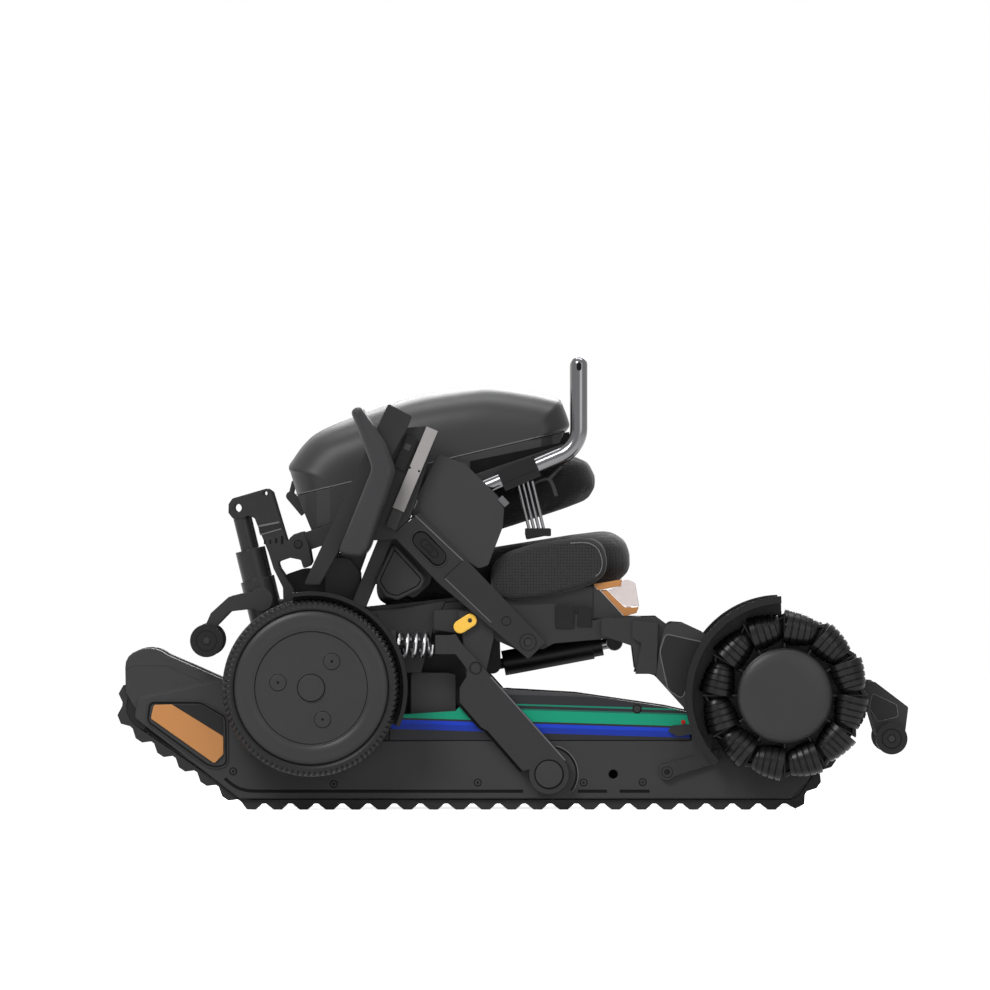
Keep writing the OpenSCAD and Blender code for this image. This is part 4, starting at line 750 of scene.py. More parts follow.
for sign, side in SIDES:
    rollers = Shape()
    for k in range(ROLLER_N):
        roller(rollers, sign, pi / 2 - tau * k / ROLLER_N)
    item = rollers.piece("omni_roller_set_" + side, "roller_rubber", "front_wheel_" + side, 0.5)
    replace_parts(item, "omni_rollers_" + side)


# Armrests

STRIP = ((-114, 545.2), (-162.6, 429.3))
STRIP_WAY = (Vector(STRIP[1]) - Vector(STRIP[0])).normalized()
STRIP_W, STRIP_H = 17.5, 10.0
CAP_GAP, STRIP_CAP_L, STRIP_CAP_W, STRIP_CAP_H = 0.6, 28.5, 16.0, 9.0
STRIP_SCREWS = ((-145.9, 489.5), (-133, 484.6))
STRIP_SCREW_R = 1.7
MODULE_AT = Vector((-149.5, 519))
MODULE_BOX = [(-16, -8), (34, -8), (34, 9.5), (-16, 9.5)]
MODULE_H = 7.0
SQUARE = [(-0.5, -0.5), (0.5, -0.5), (0.5, 0.5), (-0.5, 0.5)]
SWITCH_L, SWITCH_H = 9.5, 1.4
LATCH_AT = (-142.4, 439.2)
LATCH_L, LATCH_HIGHLIGHT = 12.0, 1.2
LATCH_BACK, LATCH_FRONT = LINK_OUT - 13, LINK_OUT - 1
LINK_WAY = Vector((0.684, -0.73))
LINK_PIVOT = (22.9, 240.1)
LINK_BOLT = (-8.2, 270.2)
LINK_RINGS = ((LINK_PIVOT, 11.4, 12.4), (LINK_PIVOT, 5.2, 6.0), (LINK_BOLT, 5.8, 7.0))
LINK_SEAMS = (((-166.7, 397.6), (-139, 422.8)), ((-97.4, 331.8), (-69.7, 357.8)))
LINK_SEAM_W = 1.1
LINK_HIGHLIGHTS = (((-138.6, 421.4), (-69.9, 356.6), 1.4), ((-95.6, 331), (-30, 268.5), 1.2))
BUTTON_AT = Vector((-118.1, 374.2))
BUTTON_GAP, BUTTON_EDGE, BUTTON_RIM = (56.4, 22.4), (60, 26), (63.5, 29.5)
BUTTON_GAP_H, BUTTON_RIM_H = 0.4, 1.6
BUTTON_FACE = LINK_OUT + 3
BUTTON_GROOVES = (((30, 9), (33, 12)), ((13, 4), (15, 6)))
TAB = ((-17, 447), (-7, 436), 9)
TAB_BACK, TAB_FRONT = LINK_OUT - 14.5, LINK_OUT - 10
PAD_LINE = [(-231, 571), (-217, 579), (-180, 525), (-166, 487), (-173, 464), (-204, 372), (-215, 360),
            (-240, 362), (-248, 370), (-200, 489)]
PAD_ROWS = [(268, 3), (269, 1.4), (272, 0.3), (276, 0), (294, 0), (300, 0.7), (304, 2.2), (306.8, 4.4),
            (308, 6.8)]


def along(at, way, rows, size=1.0):
    """Points given as rows (along, across) of a direction."""
    side = Vector((-way.y, way.x))
    return [tuple(Vector(at) + way * a * size + side * b * size) for a, b in rows]


def oval(length, width):
    """An outline about the armrest's button, along its link."""
    reach = LINK_WAY * (length - width) / 2
    return capsule(BUTTON_AT - reach, BUTTON_AT + reach, width)


def arm_strip(body, side, one):
    """The silver strip with its cap and screws, the switch module and the latch."""
    details("arm_strip_" + side, "silver_paint", body, on(LINK_OUT, STRIP_H, bar(*STRIP, STRIP_W)), one)
    cap = [tuple(Vector(STRIP[1]) + STRIP_WAY * reach) for reach in (CAP_GAP, STRIP_CAP_L)]
    details("arm_strip_cap_" + side, "charcoal_plastic", body,
            on(LINK_OUT, STRIP_CAP_H, softened(bar(*cap, STRIP_CAP_W), 2)), one)
    details("arm_strip_screws_" + side, "gap_and_shade_black", body,
            on(LINK_OUT + STRIP_H, HAIR, *(circle(p, STRIP_SCREW_R, 14) for p in STRIP_SCREWS)), one)
    module = softened(along(MODULE_AT, STRIP_WAY, MODULE_BOX), 2)
    details("arm_module_" + side, "black_plastic", body, on(LINK_OUT, MODULE_H, module), one)
    details("arm_switch_" + side, "charcoal_plastic", body,
            on(LINK_OUT + MODULE_H, SWITCH_H, along(MODULE_AT, STRIP_WAY, SQUARE, SWITCH_L)), one)
    latch = along(LATCH_AT, STRIP_WAY, SQUARE, LATCH_L)
    details("arm_latch_" + side, "black_plastic", body, [(latch, LATCH_BACK, LATCH_FRONT)], one)
    # A light rim round the latch: painted highlight.
    details("arm_latch_highlight_" + side, "painted_highlight_grey", body,
            [(grown(latch, -LATCH_HIGHLIGHT), latch, LATCH_FRONT, LATCH_FRONT + LOW)], one)


def arm_link_details(body, side, one):
    """Seams and rings on the link, painted highlights along its edges, and the grooves of its button."""
    edge = oval(*BUTTON_EDGE)
    rows = [(oval(*BUTTON_GAP), edge, LINK_OUT, LINK_OUT + BUTTON_GAP_H)]
    details("arm_link_marks_" + side, "gap_and_shade_black", body, rows + rings(LINK_OUT, SKIN, *LINK_RINGS), one)
    details("arm_link_rim_" + side, "charcoal_plastic", body,
            [(edge, oval(*BUTTON_RIM), LINK_OUT, LINK_OUT + BUTTON_RIM_H)], one)
    details("arm_link_seams_" + side, "gap_and_shade_black", body,
            on(LINK_OUT, FILM, *(bar(p, q, LINK_SEAM_W) for p, q in LINK_SEAMS)), one)
    details("arm_button_groove_" + side, "gap_and_shade_black", "button_" + side,
            [(oval(*a), oval(*b), BUTTON_FACE, BUTTON_FACE + SKIN) for a, b in BUTTON_GROOVES], one)
    # Light strips along the link's edges: painted highlights.
    details("arm_link_edges_" + side, "painted_highlight_grey", body,
            on(LINK_OUT, THIN, *(bar(*row) for row in LINK_HIGHLIGHTS)), one)
    # The tab behind the link is in the same painted highlight grey.
    details("arm_tab_" + side, "painted_highlight_grey", body, [(bar(*TAB), TAB_BACK, TAB_FRONT)], one)


for sign, side in SIDES:
    body = "armrest_" + side
    pad = soft_pad("arm_pad_soft_" + side, "pad_foam", body, PAD_LINE, PAD_ROWS, sign)
    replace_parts(pad, "arm_pad_" + side)
    arm_strip(body, side, ((sign, side),))
    arm_link_details(body, side, ((sign, side),))


# Seat sides, covers and brackets

SIDE_LINE = [
    (-31.8, 335), (-26, 354), (-10, 368), (31, 381), (94, 390), (118, 388), (131, 378), (137, 355),
    (132.6, 335), (112, 321), (45, 304), (-4, 299.5), (-27, 312)
]
SIDE_ROWS = [(206.3, 4), (207.5, 1.2), (210, 0), (213, 1), (215.2, 3.2), (216.4, 6.4)]
SIDE_CORNER = 14
SIDE_FACE = 216.3
SIDE_STITCH = [(84, 381.6), (104, 382.4), (116, 379), (124, 371.5), (129.2, 355), (126, 340), (117, 332.5)]
STITCH_PITCH = 3.2
STITCH_SHARES = (0, 0.3, 0.6)
STITCH_R = 0.6


def seat_sides():
    """Soft side panels of the seat, with a row of stitches each."""
    stitches = Shape()
    line = even(smooth_path(SIDE_STITCH, 9), STITCH_PITCH)
    for sign, side in SIDES:
        soft_pad("seat_side_panel_" + side, "panel_fabric", "chassis", SIDE_LINE, SIDE_ROWS, sign,
                 SIDE_CORNER)
        for a, b in zip(line, line[1:]):
            thread = [a.lerp(b, share) for share in STITCH_SHARES]
            stitches.tube([(p.x, sign * SIDE_FACE, p.y) for p in thread], STITCH_R, 6)
    stitches.piece("seat_side_stitches", "stitch", "chassis", 0.9)


SHROUD_CORNER = 6
SHROUD_ROWS = (
    ([(-268, 366), (-208, 369), (-222, 330), (-268, 330)], 90, 165),
    ([(-326, 336), (-300, 345), (-262, 345), (-262, 312), (-326, 312)], 60, 164),
)
COVER_BACK = softened([(-176, 392), (-150, 381), (-112, 345), (-118, 322), (-140, 303), (-190, 318)], 4)
COVER_BACK_Y = (190, 199)
RAIL_BOX_CORNER = 2
RAIL_BOXES = (
    ([(62, 260), (88, 260), (90, 293), (62, 293)], 3.0),
    ([(93, 262), (114, 262), (114, 290), (95, 293)], 2.2),
)
COVER_LINE = softened(
    [(-169.7, 382), (-123, 331.2), (-130.3, 316.4), (-163.9, 300), (-181.4, 304.9), (-196, 327)], 7
)
COVER_RIM_INSETS, COVER_LINE_INSETS = (5, 1), (6.6, 5)
COVER_RIM_H = 2.4


def seat_covers():
    details("control_shroud", "black_plastic", "chassis",
            [(softened(line, SHROUD_CORNER), y0, y1) for line, y0, y1 in SHROUD_ROWS])
    details("cover_back", "charcoal_plastic", "chassis", [(COVER_BACK, *COVER_BACK_Y)])
    details("rail_boxes", "black_plastic", "chassis",
            [(softened(line, RAIL_BOX_CORNER), RAIL_OUT, RAIL_OUT + h) for line, h in RAIL_BOXES])
    rim = [grown(COVER_LINE, -inset) for inset in COVER_RIM_INSETS]
    line = [grown(COVER_LINE, -inset) for inset in COVER_LINE_INSETS]
    details("cover_rim", "charcoal_plastic", "chassis", [(*rim, COVER_OUT, COVER_OUT + COVER_RIM_H)])
    details("cover_line", "gap_and_shade_black", "chassis", [(*line, COVER_OUT, COVER_OUT + THIN)])


FOLD_SHADE_LINE = [(-363.2, 404.5), (-332.6, 410.5), (-330.2, 403), (-361.2, 394.5)]
FOLD_SHADE_H = 0.7
RIDGE_HIGHLIGHTS = ((((-363.9, 405.6), (-333.2, 411.6), 2.6), 1.2), (((-360.6, 393.4), (-330.4, 402.2), 1.8), 1.0))
BRACKET_SLOTS = ((-354, 383, 2.6, 6), (-346, 383.4, 2.6, 6), (-337.5, 385, 3.4, 7), (-329, 386, 3.6, 12))
HINGE = (-306.0, 380.0)
HINGE_R, HINGE_RING_R, HINGE_BOLT_H = 5.2, 6.4, 1.6
STRUT_BOLT = (-319.8, 292)
STRUT_RADII = (4.2, 5.2)


def bracket_details():
    """Folds of the rear bracket plates drawn as painted shade with painted highlights on their ridges, and
    the plates' slots and bolts.
    """
    # A dark band along the fold: painted shade.
    details("bracket_fold_shade", "dark_paint", "chassis", on(PLATE_OUT, FOLD_SHADE_H, FOLD_SHADE_LINE))
    # Light bars on the fold's ridges: painted highlights.
    details("bracket_ridge_highlights", "painted_highlight_grey", "chassis",
            [(bar(*line), PLATE_OUT, PLATE_OUT + h) for line, h in RIDGE_HIGHLIGHTS])
    slots = [bar((x, z - h / 2), (x, z + h / 2), w) for x, z, w, h in BRACKET_SLOTS]
    details("bracket_slots", "gap_and_shade_black", "chassis", on(PLATE_OUT, FILM, *slots))
    details("bracket_bolt_rings", "gap_and_shade_black", "chassis",
            rings(PLATE_OUT, THIN, (HINGE, HINGE_R, HINGE_RING_R), (STRUT_BOLT, *STRUT_RADII)))
    details("bracket_bolts", "dark_paint", "chassis", on(PLATE_OUT, HINGE_BOLT_H, circle(HINGE, HINGE_R)))


seat_sides()
seat_covers()
bracket_details()


# Swing arms, and liners behind the front wheels and the belts

POD_PIVOT = (53.0, 51.0)
ARM_TOP = (-52, 203)
ARM_SPAN = (105, 152)
ARM_SHARES = (
    (-0.486, 0.276), (-0.276, 0.322), (-0.19, 0.23), (0.029, 0.066), (0.19, -0.059), (1.25, -0.875),
    (0.64, -0.97), (0.162, -0.592), (0.076, -0.559), (-0.219, -0.322), (-0.219, -0.184), (-0.124, -0.079),
    (-0.114, -0.013), (-0.276, 0.132), (-0.486, 0.151)
)
ARM_LINE = [(ARM_TOP[0] + ARM_SPAN[0] * a, ARM_TOP[1] + ARM_SPAN[1] * b) for a, b in ARM_SHARES]
SHADOW_TOP = 190
SHADOW_SHIFT = (4.5, 1)
SHADOW_Y = (234.3, 235.9)
ARM_CAP_R, ARM_RING_R, ARM_CAP_H = 19.3, 21.4, 2.4
ARM_TOP_RADII = (8, 9.2)
ARM_HIGHLIGHT = ((-30.4, 190.4), (76, 71), 1.8)
ARM_HIGHLIGHT_H = 0.4
RECESS = softened([(220, 251), (283, 237), (262, 205), (243, 160), (224, 172), (212, 226)], 6)
RECESS_HIGHLIGHT, RECESS_HIGHLIGHT_H = 1.6, 0.9
POD_ARC = (-36, 75)
POD_ARC_RADII, POD_HIGHLIGHT_RADII = (38, 41), (41, 42.4)
FENDER_LINER, FENDER_Y = arc_band(FRONT_AXLE, 100, 133, 92, 130), (251.3, 252.7)
BELT_LINER, BELT_LINER_Y = bar((-524, 119), (-440, 65), 12), (220.15, 220.85)
FAIRING_TAIL, FAIRING_TAIL_Y = [(-214, 99.4), (-175.4, 99.4), (-175.4, 136), (-204, 128)], (186, 224)


def swing_arm_details():
    shadow = [(x - SHADOW_SHIFT[0], z - SHADOW_SHIFT[1]) for x, z in ARM_LINE if z < SHADOW_TOP]
    details("swing_arm_shadow", "gap_and_shade_black", "arms", [(shadow, *SHADOW_Y)])
    details("swing_arm_caps", "charcoal_plastic", "arms",
            on(LINK_OUT, ARM_CAP_H, circle(POD_PIVOT, ARM_CAP_R, 56)))
    details("swing_arm_rings", "gap_and_shade_black", "arms",
            rings(LINK_OUT, LOW, (POD_PIVOT, ARM_CAP_R, ARM_RING_R), n=56)
            + rings(LINK_OUT, THIN, (ARM_TOP, *ARM_TOP_RADII)))
    # A light strip along the arm's edge: painted highlight.
    details("swing_arm_edge_highlights", "painted_highlight_grey", "arms", on(LINK_OUT, ARM_HIGHLIGHT_H, bar(*ARM_HIGHLIGHT)))


def housing_details():
    """Recess of the front drive housings drawn as painted shade with a painted highlight on its rim, arc
    under the swing arms with a painted highlight on its rim, and dark liners.
    """
    # The recess is a raised dark patch: painted shade.
    details("drive_recess", "dark_paint", "carriage", on(DRIVE_OUT, LOW, RECESS))
    # A light rim round the recess: painted highlight.
    details("drive_recess_highlight", "painted_highlight_grey", "carriage",
            [(RECESS, grown(RECESS, RECESS_HIGHLIGHT), DRIVE_OUT, DRIVE_OUT + RECESS_HIGHLIGHT_H)])
    track("pod_arc_groove", "gap_and_shade_black", on(POD_OUT, SKIN, arc_band(POD_PIVOT, *POD_ARC_RADII, *POD_ARC)))
    # A light band on the raised arc's edge: painted highlight.
    track("pod_arc_highlight", "painted_highlight_grey", on(POD_OUT, LOW, arc_band(POD_PIVOT, *POD_HIGHLIGHT_RADII, *POD_ARC)))
    details("front_fender_liner", "black_plastic", "carriage", [(FENDER_LINER, *FENDER_Y)])
    track("belt_liner", "gap_and_shade_black", [(BELT_LINER, *BELT_LINER_Y)])
    track("fairing_tail", "black_plastic", [(FAIRING_TAIL, *FAIRING_TAIL_Y)])


swing_arm_details()
housing_details()


# Springs: smooth wire over the same coil

SPRING_Y = 228
SPRING_WIRE, SPRING_R, SPRING_TURNS, SPRING_STEPS = 6.4, 16.2, 4, 28
WIRE_EASE = 0.1


def springs():
    low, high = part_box("coil_springs")
    x0, x1 = low[0] / MM, high[0] / MM
    z = (low[2] + high[2]) / 2 / MM
    steps = SPRING_TURNS * SPRING_STEPS
    shape = Shape()
    for sign, _ in SIDES:
        path = []
        for k in range(steps + 1):
            turn = tau * SPRING_TURNS * k / steps
            x = x0 + SPRING_WIRE / 2 + (x1 - x0 - SPRING_WIRE) * k / steps
            path.append((x, sign * (SPRING_Y + SPRING_R * cos(turn)), z + SPRING_R * sin(turn)))
        shape.tube(path, SPRING_WIRE / 2 - WIRE_EASE, 12)
    item = shape.piece("spring_coils", "spring_steel", "chassis", 0.9)
    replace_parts(item, "coil_springs")
    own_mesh(item)


springs()


# Backrest fittings and handle

CANE_Y = 208.0
ROD_N, ROD_PITCH, ROD_R = 4, 7, 2.2
ROD_FOOT, ROD_HEAD = (27, 392), (8, 470.5)
ROD_FEET = ((((19, 397), (56, 397), 11), 202, 214), (((20, 389.5), (46, 394.5), 6), 196, 213))
FOOT_CORNER = 2
HOOKS = (((30.5, 467.6), (52.5, 473.1), (63.6, 448.6)), ((52.5, 473.1), (70.6, 492.7)))
HOOK_Y, HOOK_R = 199.0, 3.0
CLAMP_LINE = ((-14, 466), (34, 486.4), 1.0)


def backrest_fittings():
    rods, feet, hooks = Shape(), Shape(), Shape()
    for sign, _ in SIDES:
        for k in range(ROD_N):
            ends = [(x + ROD_PITCH * k, sign * CANE_Y, z) for x, z in (ROD_FOOT, ROD_HEAD)]
            rods.tube(ends, ROD_R, 12)
        for line, y0, y1 in ROD_FEET:
            feet.slab(softened(bar(*line), FOOT_CORNER), *across(sign, y0, y1))
        for path in HOOKS:
            hooks.tube([(p.x, sign * HOOK_Y, p.y) for p in smooth_path(path, 5)], HOOK_R, 10)
    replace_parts(rods.piece("fold_rod_bars", "chrome", "backrest", 0.9), "fold_rods")
    feet.piece("fold_rod_feet", "black_plastic", "backrest")
    hooks.piece("back_hooks", "charcoal_plastic", "backrest", 0.9)
    details("clamp_lines", "gap_and_shade_black", "backrest", on(COVER_OUT, HAIR, bar(*CLAMP_LINE)))


CANE_CORNER = Vector((96, 518))
CANE_TOP, CANE_R, CANE_BEND, CANE_TAIL = 649.0, 12.0, 42.0, 250.0
CANE_SLOPE = radians(23)
BEND_STEPS, DOME_STEPS, DOME_END = 12, 8, 8.2
GRIP_Z, GRIP_R = 634, 8.0
END_MARK, END_MARK_Y = ((96, 632), (96, 637), 7), (219.2, 220.35)


def push_handle():
    """Two bent canes with domed tops and a cross grip."""
    x = CANE_CORNER.x
    way = Vector((cos(CANE_SLOPE), sin(CANE_SLOPE)))
    sweep = pi / 2 - CANE_SLOPE
    middle = Vector((x - CANE_BEND, CANE_CORNER.y + CANE_BEND * tan(sweep / 2)))
    line = [CANE_CORNER - way * CANE_TAIL]
    for k in range(BEND_STEPS + 1):
        turn = sweep * (k / BEND_STEPS - 1)
        line.append(middle + Vector((cos(turn), sin(turn))) * CANE_BEND)
    line.append(Vector((x, CANE_TOP - CANE_R)))
    radii = [CANE_R] * len(line)
    for k in range(1, DOME_STEPS + 1):
        turn = pi / 2 * k / DOME_END
        line.append(Vector((x, CANE_TOP - CANE_R + CANE_R * sin(turn))))
        radii.append(CANE_R * cos(turn))
    shape = Shape()
    for sign, _ in SIDES:
        shape.tube([(p.x, sign * CANE_Y, p.y) for p in line], radii, 32)
    shape.tube([(x, y, GRIP_Z) for y in (-CANE_Y, 0, CANE_Y)], GRIP_R, 24)
    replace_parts(shape.piece("push_handle_bars", "chrome", "handle", 0.9), "push_handle")
    details("handle_end_marks", "gap_and_shade_black", "handle", [(capsule(*END_MARK), *END_MARK_Y)])


backrest_fittings()
push_handle()


# Small running gear

CASTER = (-437, 242)
CASTER_RADII = (14, 15)
GUIDE = (543.0, 102.0)
GUIDE_RINGS = ((GUIDE, 13, 14.6), (GUIDE, 5, 6))
GUIDE_PANEL = softened([(516, 166), (550, 150), (552, 134), (524, 127), (512, 146)], 3)
GUIDE_HIGHLIGHT, GUIDE_HIGHLIGHT_H = 1.2, 0.8
details("caster_marks", "gap_and_shade_black", "casters", rings(CASTER_OUT, SKIN, (CASTER, *CASTER_RADII)))
details("guide_marks", "gap_and_shade_black", "guides", rings(GUIDE_OUT, SKIN, *GUIDE_RINGS))
details("guide_panel", "dark_paint", "carriage", on(GUIDE_ARM_OUT, LOW, GUIDE_PANEL))
# A light rim round the guide panel: painted highlight.
details("guide_panel_highlight", "painted_highlight_grey", "carriage",
        [(GUIDE_PANEL, grown(GUIDE_PANEL, GUIDE_HIGHLIGHT), GUIDE_ARM_OUT, GUIDE_ARM_OUT + GUIDE_HIGHLIGHT_H)])


# Case lid: one smooth shell with rounded plan corners

LID_PROFILE = [
    (-308, 450), (-317.4, 482), (-320.5, 491.5), (-315, 501), (-299, 523), (-277, 541.5), (-231.2, 561.5),
    (-143.4, 591.5), (-72.8, 604), (-28, 607), (30.5, 598), (60, 590.5), (69, 587), (73, 580), (82.4, 552),
    (76.2, 541.8)
]
LID_STEPS = 7
LID_HALF = 171.6
LID_CORNER = 50.0
LID_ROUND = 4.2
LID_WALL = 3.0
LID_ACROSS = 56
SEAM_WAY = (Vector(LID_PROFILE[-1]) - Vector(LID_PROFILE[0])).normalized()
SEAM_UP = Vector((-SEAM_WAY.y, SEAM_WAY.x))
SEAM_OUT, SEAM_LIFT, SEAM_R, SEAM_LEAST_STEP = 0.4, 0.9, 1.0, 0.6
KNUCKLE_AT, KNUCKLE_R, KNUCKLE_Y = (-318, 449), 6.5, (60, 80)
KNUCKLE_ARM = (KNUCKLE_AT, (-313, 470), 6.5)
TRAY_SHADE_LINE = [(-60, 499), (68, 525), (75, 540), (82, 541), (85, 521), (84, 512), (61, 505), (-20, 478),
              (-60, 463)]
TRAY_SHADE_Y = (172.4, 174.4)


def lid_grid(half, inset):
    """Rows of points over the lid, from the rear seam over the top to the front seam."""
    start = Vector(LID_PROFILE[0])
    line = [p - start for p in smooth_path(LID_PROFILE, LID_STEPS)]
    forward = [p.dot(SEAM_WAY) for p in line]
    above = [p.dot(SEAM_UP) for p in line]
    middle = (min(forward) + max(forward)) / 2
    reach = (max(forward) - min(forward)) / 2
    rows = []
    for s, h in zip(forward, above):
        row = []
        for k in range(LID_ACROSS + 1):
            turn = pi * (k / LID_ACROSS - 0.5)
            v = copysign(abs(sin(turn)) ** (2 / LID_ROUND), sin(turn))
            q = abs(cos(turn)) ** (2 / LID_ROUND)
            over = max(0.0, abs(v) * LID_HALF - (LID_HALF - LID_CORNER))
            pull = LID_CORNER - sqrt(max(0.0, LID_CORNER ** 2 - over ** 2))
            at = middle + (s - middle) * (1 - (pull + inset) / reach)
            p = start + SEAM_WAY * at + SEAM_UP * max(0.0, h * q - inset * q)
            row.append((p.x, v * half, p.y))
        rows.append(row)
    return rows


def lid_edge(rows):
    """The seam round the lid, as one closed loop."""
    return rows[0] + [r[-1] for r in rows[1:-1]] + rows[-1][::-1] + [r[0] for r in rows[-2:0:-1]]


def case_lid():
    outer, inner = lid_grid(LID_HALF, 0.0), lid_grid(LID_HALF - LID_WALL, LID_WALL)
    shape = Shape()
    for rows in (outer, inner):
        shape.add([p for row in rows for p in row], grid_faces(len(rows), LID_ACROSS + 1, False, False))
    edge = lid_edge(outer)
    shape.add(edge + lid_edge(inner), grid_faces(2, len(edge), False))
    for sign, _ in SIDES:
        shape.slab(circle(KNUCKLE_AT, KNUCKLE_R, 24), *across(sign, *KNUCKLE_Y))
        shape.slab(bar(*KNUCKLE_ARM), *across(sign, *KNUCKLE_Y))
    item = shape.piece("case_lid_shell", "case_shell", "lid", 0.7)
    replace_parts(item, "case_lid")


def case_seam_highlight():
    """A thin light grey line round the lid's edge as a painted highlight, and a black sheet of painted shade
    on the tray below it.
    """
    loop = [Vector(p) for p in lid_edge(lid_grid(LID_HALF + SEAM_OUT, -SEAM_OUT))]
    loop = [p for i, p in enumerate(loop) if (p - loop[i - 1]).length > SEAM_LEAST_STEP]
    lift = Vector((SEAM_UP.x, 0, SEAM_UP.y)) * SEAM_LIFT
    seam = Shape()
    seam.tube([p + lift for p in loop], SEAM_R, 8, True)
    # The light line along the seam: painted highlight.
    seam.piece("case_seam_highlight", "painted_highlight_grey", "lid", 0.9)
    # A black sheet just outside the tray's lower side: painted shade.
    details("tray_shade", "gap_and_shade_black", "backrest", [(TRAY_SHADE_LINE, *TRAY_SHADE_Y)])


case_lid()
case_seam_highlight()


# Cushions, swollen by a cloth simulation

VOXEL = 0.005
SWELL_FRAMES = 20
SWELL_PRESSURE = 4.0
SWELL_QUALITY = 5
SWELL_LIMIT = 0.008
SHRINK_SHARE = 0.975


def applied(item):
    """Works the object's modifiers into its mesh."""
    mesh = bpy.data.meshes.new_from_object(item.evaluated_get(bpy.context.evaluated_depsgraph_get()))
    item.modifiers.clear()
    item.data = mesh


def corners(item):
    found = np.empty(len(item.data.vertices) * 3)
    item.data.vertices.foreach_get("co", found)
    return found.reshape(-1, 3)


def swell(item):
    """Blows the mesh up as cloth, each point by no more than the limit."""
    start = corners(item)
    cloth = item.modifiers.new("cloth", "CLOTH")
    cloth.settings.use_pressure = True
    cloth.settings.uniform_pressure_force = SWELL_PRESSURE
    cloth.settings.effector_weights.gravity = 0.0
    cloth.settings.quality = SWELL_QUALITY
    cloth.point_cache.frame_start = 1
    cloth.point_cache.frame_end = SWELL_FRAMES
    for step in range(1, SWELL_FRAMES + 1):
        scene.frame_set(step)
    applied(item)
    scene.frame_set(1)
    move = corners(item) - start
    size = np.linalg.norm(move, axis=1, keepdims=True)
    move *= np.minimum(1.0, SWELL_LIMIT / np.maximum(size, TINY * MM))
    item.data.vertices.foreach_set("co", (start + move).ravel())


def swollen(name, node, body):
    mesh = nodes[node].data.copy()
    item = bpy.data.objects.new(name, mesh)
    scene.collection.objects.link(item)
    low, high = (Vector(v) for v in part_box(node))
    centre = (low + high) / 2
    mesh.transform(Matrix.Translation(centre) @ Matrix.Scale(SHRINK_SHARE, 4) @ Matrix.Translation(-centre))
    remesh = item.modifiers.new("remesh", "REMESH")
    remesh.mode = "VOXEL"
    remesh.voxel_size = VOXEL
    applied(item)
    swell(item)
    fine = item.modifiers.new("fine", "SUBSURF")
    fine.levels = fine.render_levels = 1
    applied(item)
    item.data.materials.clear()
    item.data.materials.append(LOOKS["seat_fabric"])
    item.data.polygons.foreach_set("use_smooth", [True] * len(item.data.polygons))
    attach(item, body)
    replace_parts(item, node)


swollen("seat_pad", "seat_cushion", "chassis")
swollen("back_pad", "backrest_cushion", "backrest")


# Lamps: name, place, aim, size and power

LAMPS = (
    ("key", (-1.5, -2.6, 2.6), (0, 0, 0.25), (1.5, 1.5), 120),
    ("fill", (1.6, -3.2, 1.3), (0, 0, 0.25), (2.0, 2.0), 24),
    ("top", (0.1, 0.2, 2.6), (0, 0, 0.3), (2.4, 1.0), 44),
    ("back", (0.4, 2.8, 1.9), (0, 0, 0.3), (2.2, 1.2), 70),
)


def lamp(name, at, aim, size, power):
    data = bpy.data.lights.new(name, "AREA")
    data.shape = "RECTANGLE"
    data.size, data.size_y = size
    data.energy = power
    item = bpy.data.objects.new(name, data)
    item.location = at
    item.rotation_euler = (Vector(aim) - Vector(at)).to_track_quat("-Z", "Y").to_euler()
    scene.collection.objects.link(item)


for row in LAMPS:
    lamp(*row)


# White surroundings that light the object little, and a white floor with a soft shadow near it

WORLD_LIGHT = 0.06
FLOOR_HALF = 30
FLOOR_SHADES = (0.5, 0.9)
FLOOR_GLOW = (0.82, 1.0)
GLOW_REACH = (0.7, 2.0)


def shown_to_viewer(tree):
    """1 for camera, mirror and glass rays, 0 for the light that falls on the object."""
    path = add_node(tree, "ShaderNodeLightPath")
    value = path.outputs["Is Camera Ray"]
    for name in ("Is Glossy Ray", "Is Transmission Ray"):
        value = calc(tree, "MAXIMUM", value, path.outputs[name])
    return value


def studio():
    world = bpy.data.worlds.new("studio")
    world.use_nodes = True
    scene.world = world
    tree = world.node_tree
    background = tree.nodes["Background"]
    background.inputs["Color"].default_value = (1, 1, 1, 1)
    link(tree, spread(tree, shown_to_viewer(tree), WORLD_LIGHT, 1.0), background.inputs["Strength"])


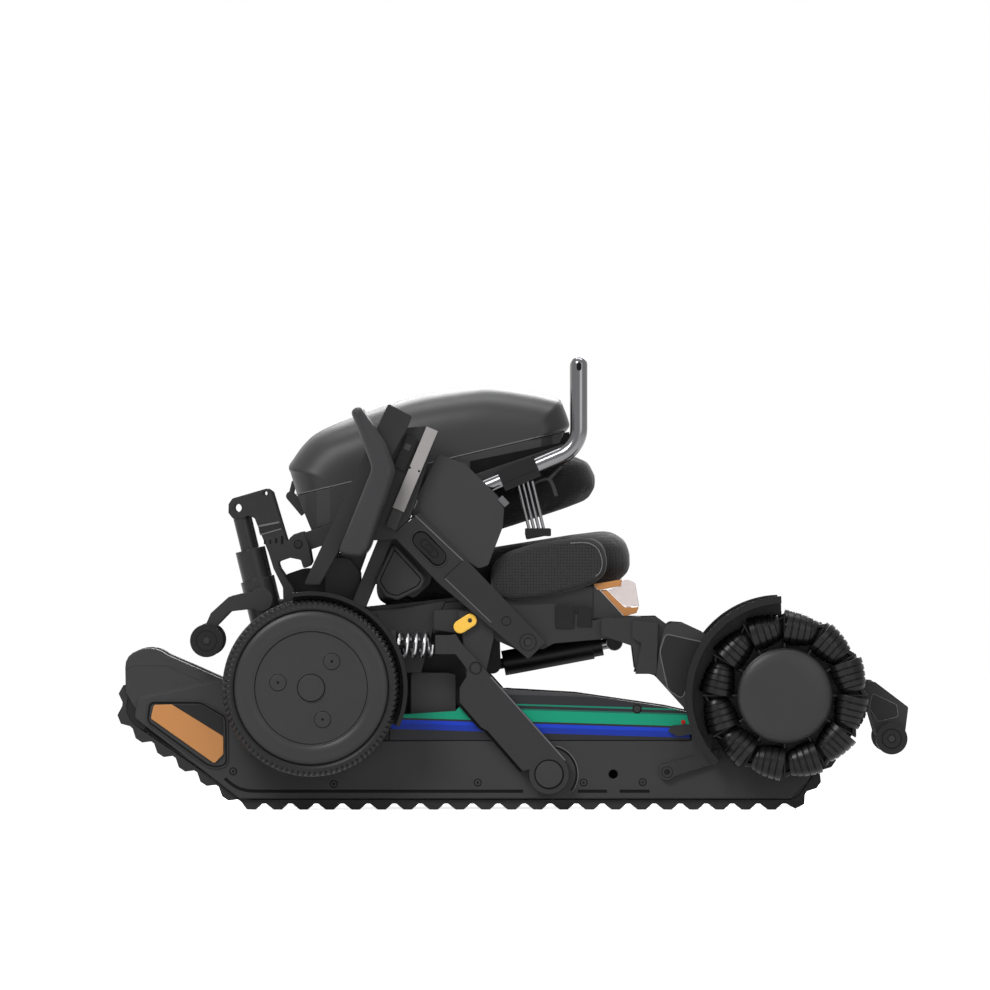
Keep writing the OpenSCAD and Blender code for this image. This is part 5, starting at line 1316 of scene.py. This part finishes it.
def floor_white():
    """Diffuse white with a glow that is weaker near the object, where its shadow stays."""
    material, tree, shader = new_material("floor_white")
    tree.nodes.remove(shader)
    pale = add_node(tree, "ShaderNodeBsdfDiffuse")
    link(tree, spread(tree, shown_to_viewer(tree), *FLOOR_SHADES), pale.inputs["Color"])
    far = add_node(tree, "ShaderNodeVectorMath", operation="LENGTH")
    link(tree, object_coords(tree), far.inputs[0])
    fade = spread(tree, far.outputs["Value"], *FLOOR_GLOW, *GLOW_REACH, "SMOOTHSTEP")
    glow = add_node(tree, "ShaderNodeEmission", Color=(1, 1, 1, 1))
    link(tree, calc(tree, "MULTIPLY", shown_to_viewer(tree), fade), glow.inputs["Strength"])
    both = add_node(tree, "ShaderNodeAddShader")
    link(tree, pale.outputs[0], both.inputs[0])
    link(tree, glow.outputs[0], both.inputs[1])
    link(tree, both.outputs[0], tree.nodes["Material Output"].inputs["Surface"])
    return material


studio()
floor_corners = [(FLOOR_HALF * x, FLOOR_HALF * y, 0) for x, y in ((-1, -1), (1, -1), (1, 1), (-1, 1))]
floor_mesh = bpy.data.meshes.new("floor")
floor_mesh.from_pydata(floor_corners, [], [(0, 1, 2, 3)])
floor_mesh.materials.append(floor_white())
floor = bpy.data.objects.new("floor", floor_mesh)
scene.collection.objects.link(floor)


# Camera: far off, as the photograph is a pure side view

CAMERA_FAR = 40.0
CAMERA_AIM = (-0.0243, -0.26, 0.4505)
CAMERA_SENSOR = 36
CAMERA_CLIP = 100
PHOTO_SPAN = 1.4157
eye = bpy.data.cameras.new("camera")
eye.sensor_width = CAMERA_SENSOR
eye.lens = CAMERA_SENSOR * CAMERA_FAR / PHOTO_SPAN
eye.clip_end = CAMERA_CLIP
camera = bpy.data.objects.new("camera", eye)
camera.location = (CAMERA_AIM[0], CAMERA_AIM[1] - CAMERA_FAR, CAMERA_AIM[2])
camera.rotation_euler = (pi / 2, 0, 0)
scene.collection.objects.link(camera)
scene.camera = camera

scene.view_settings.view_transform = "Standard"
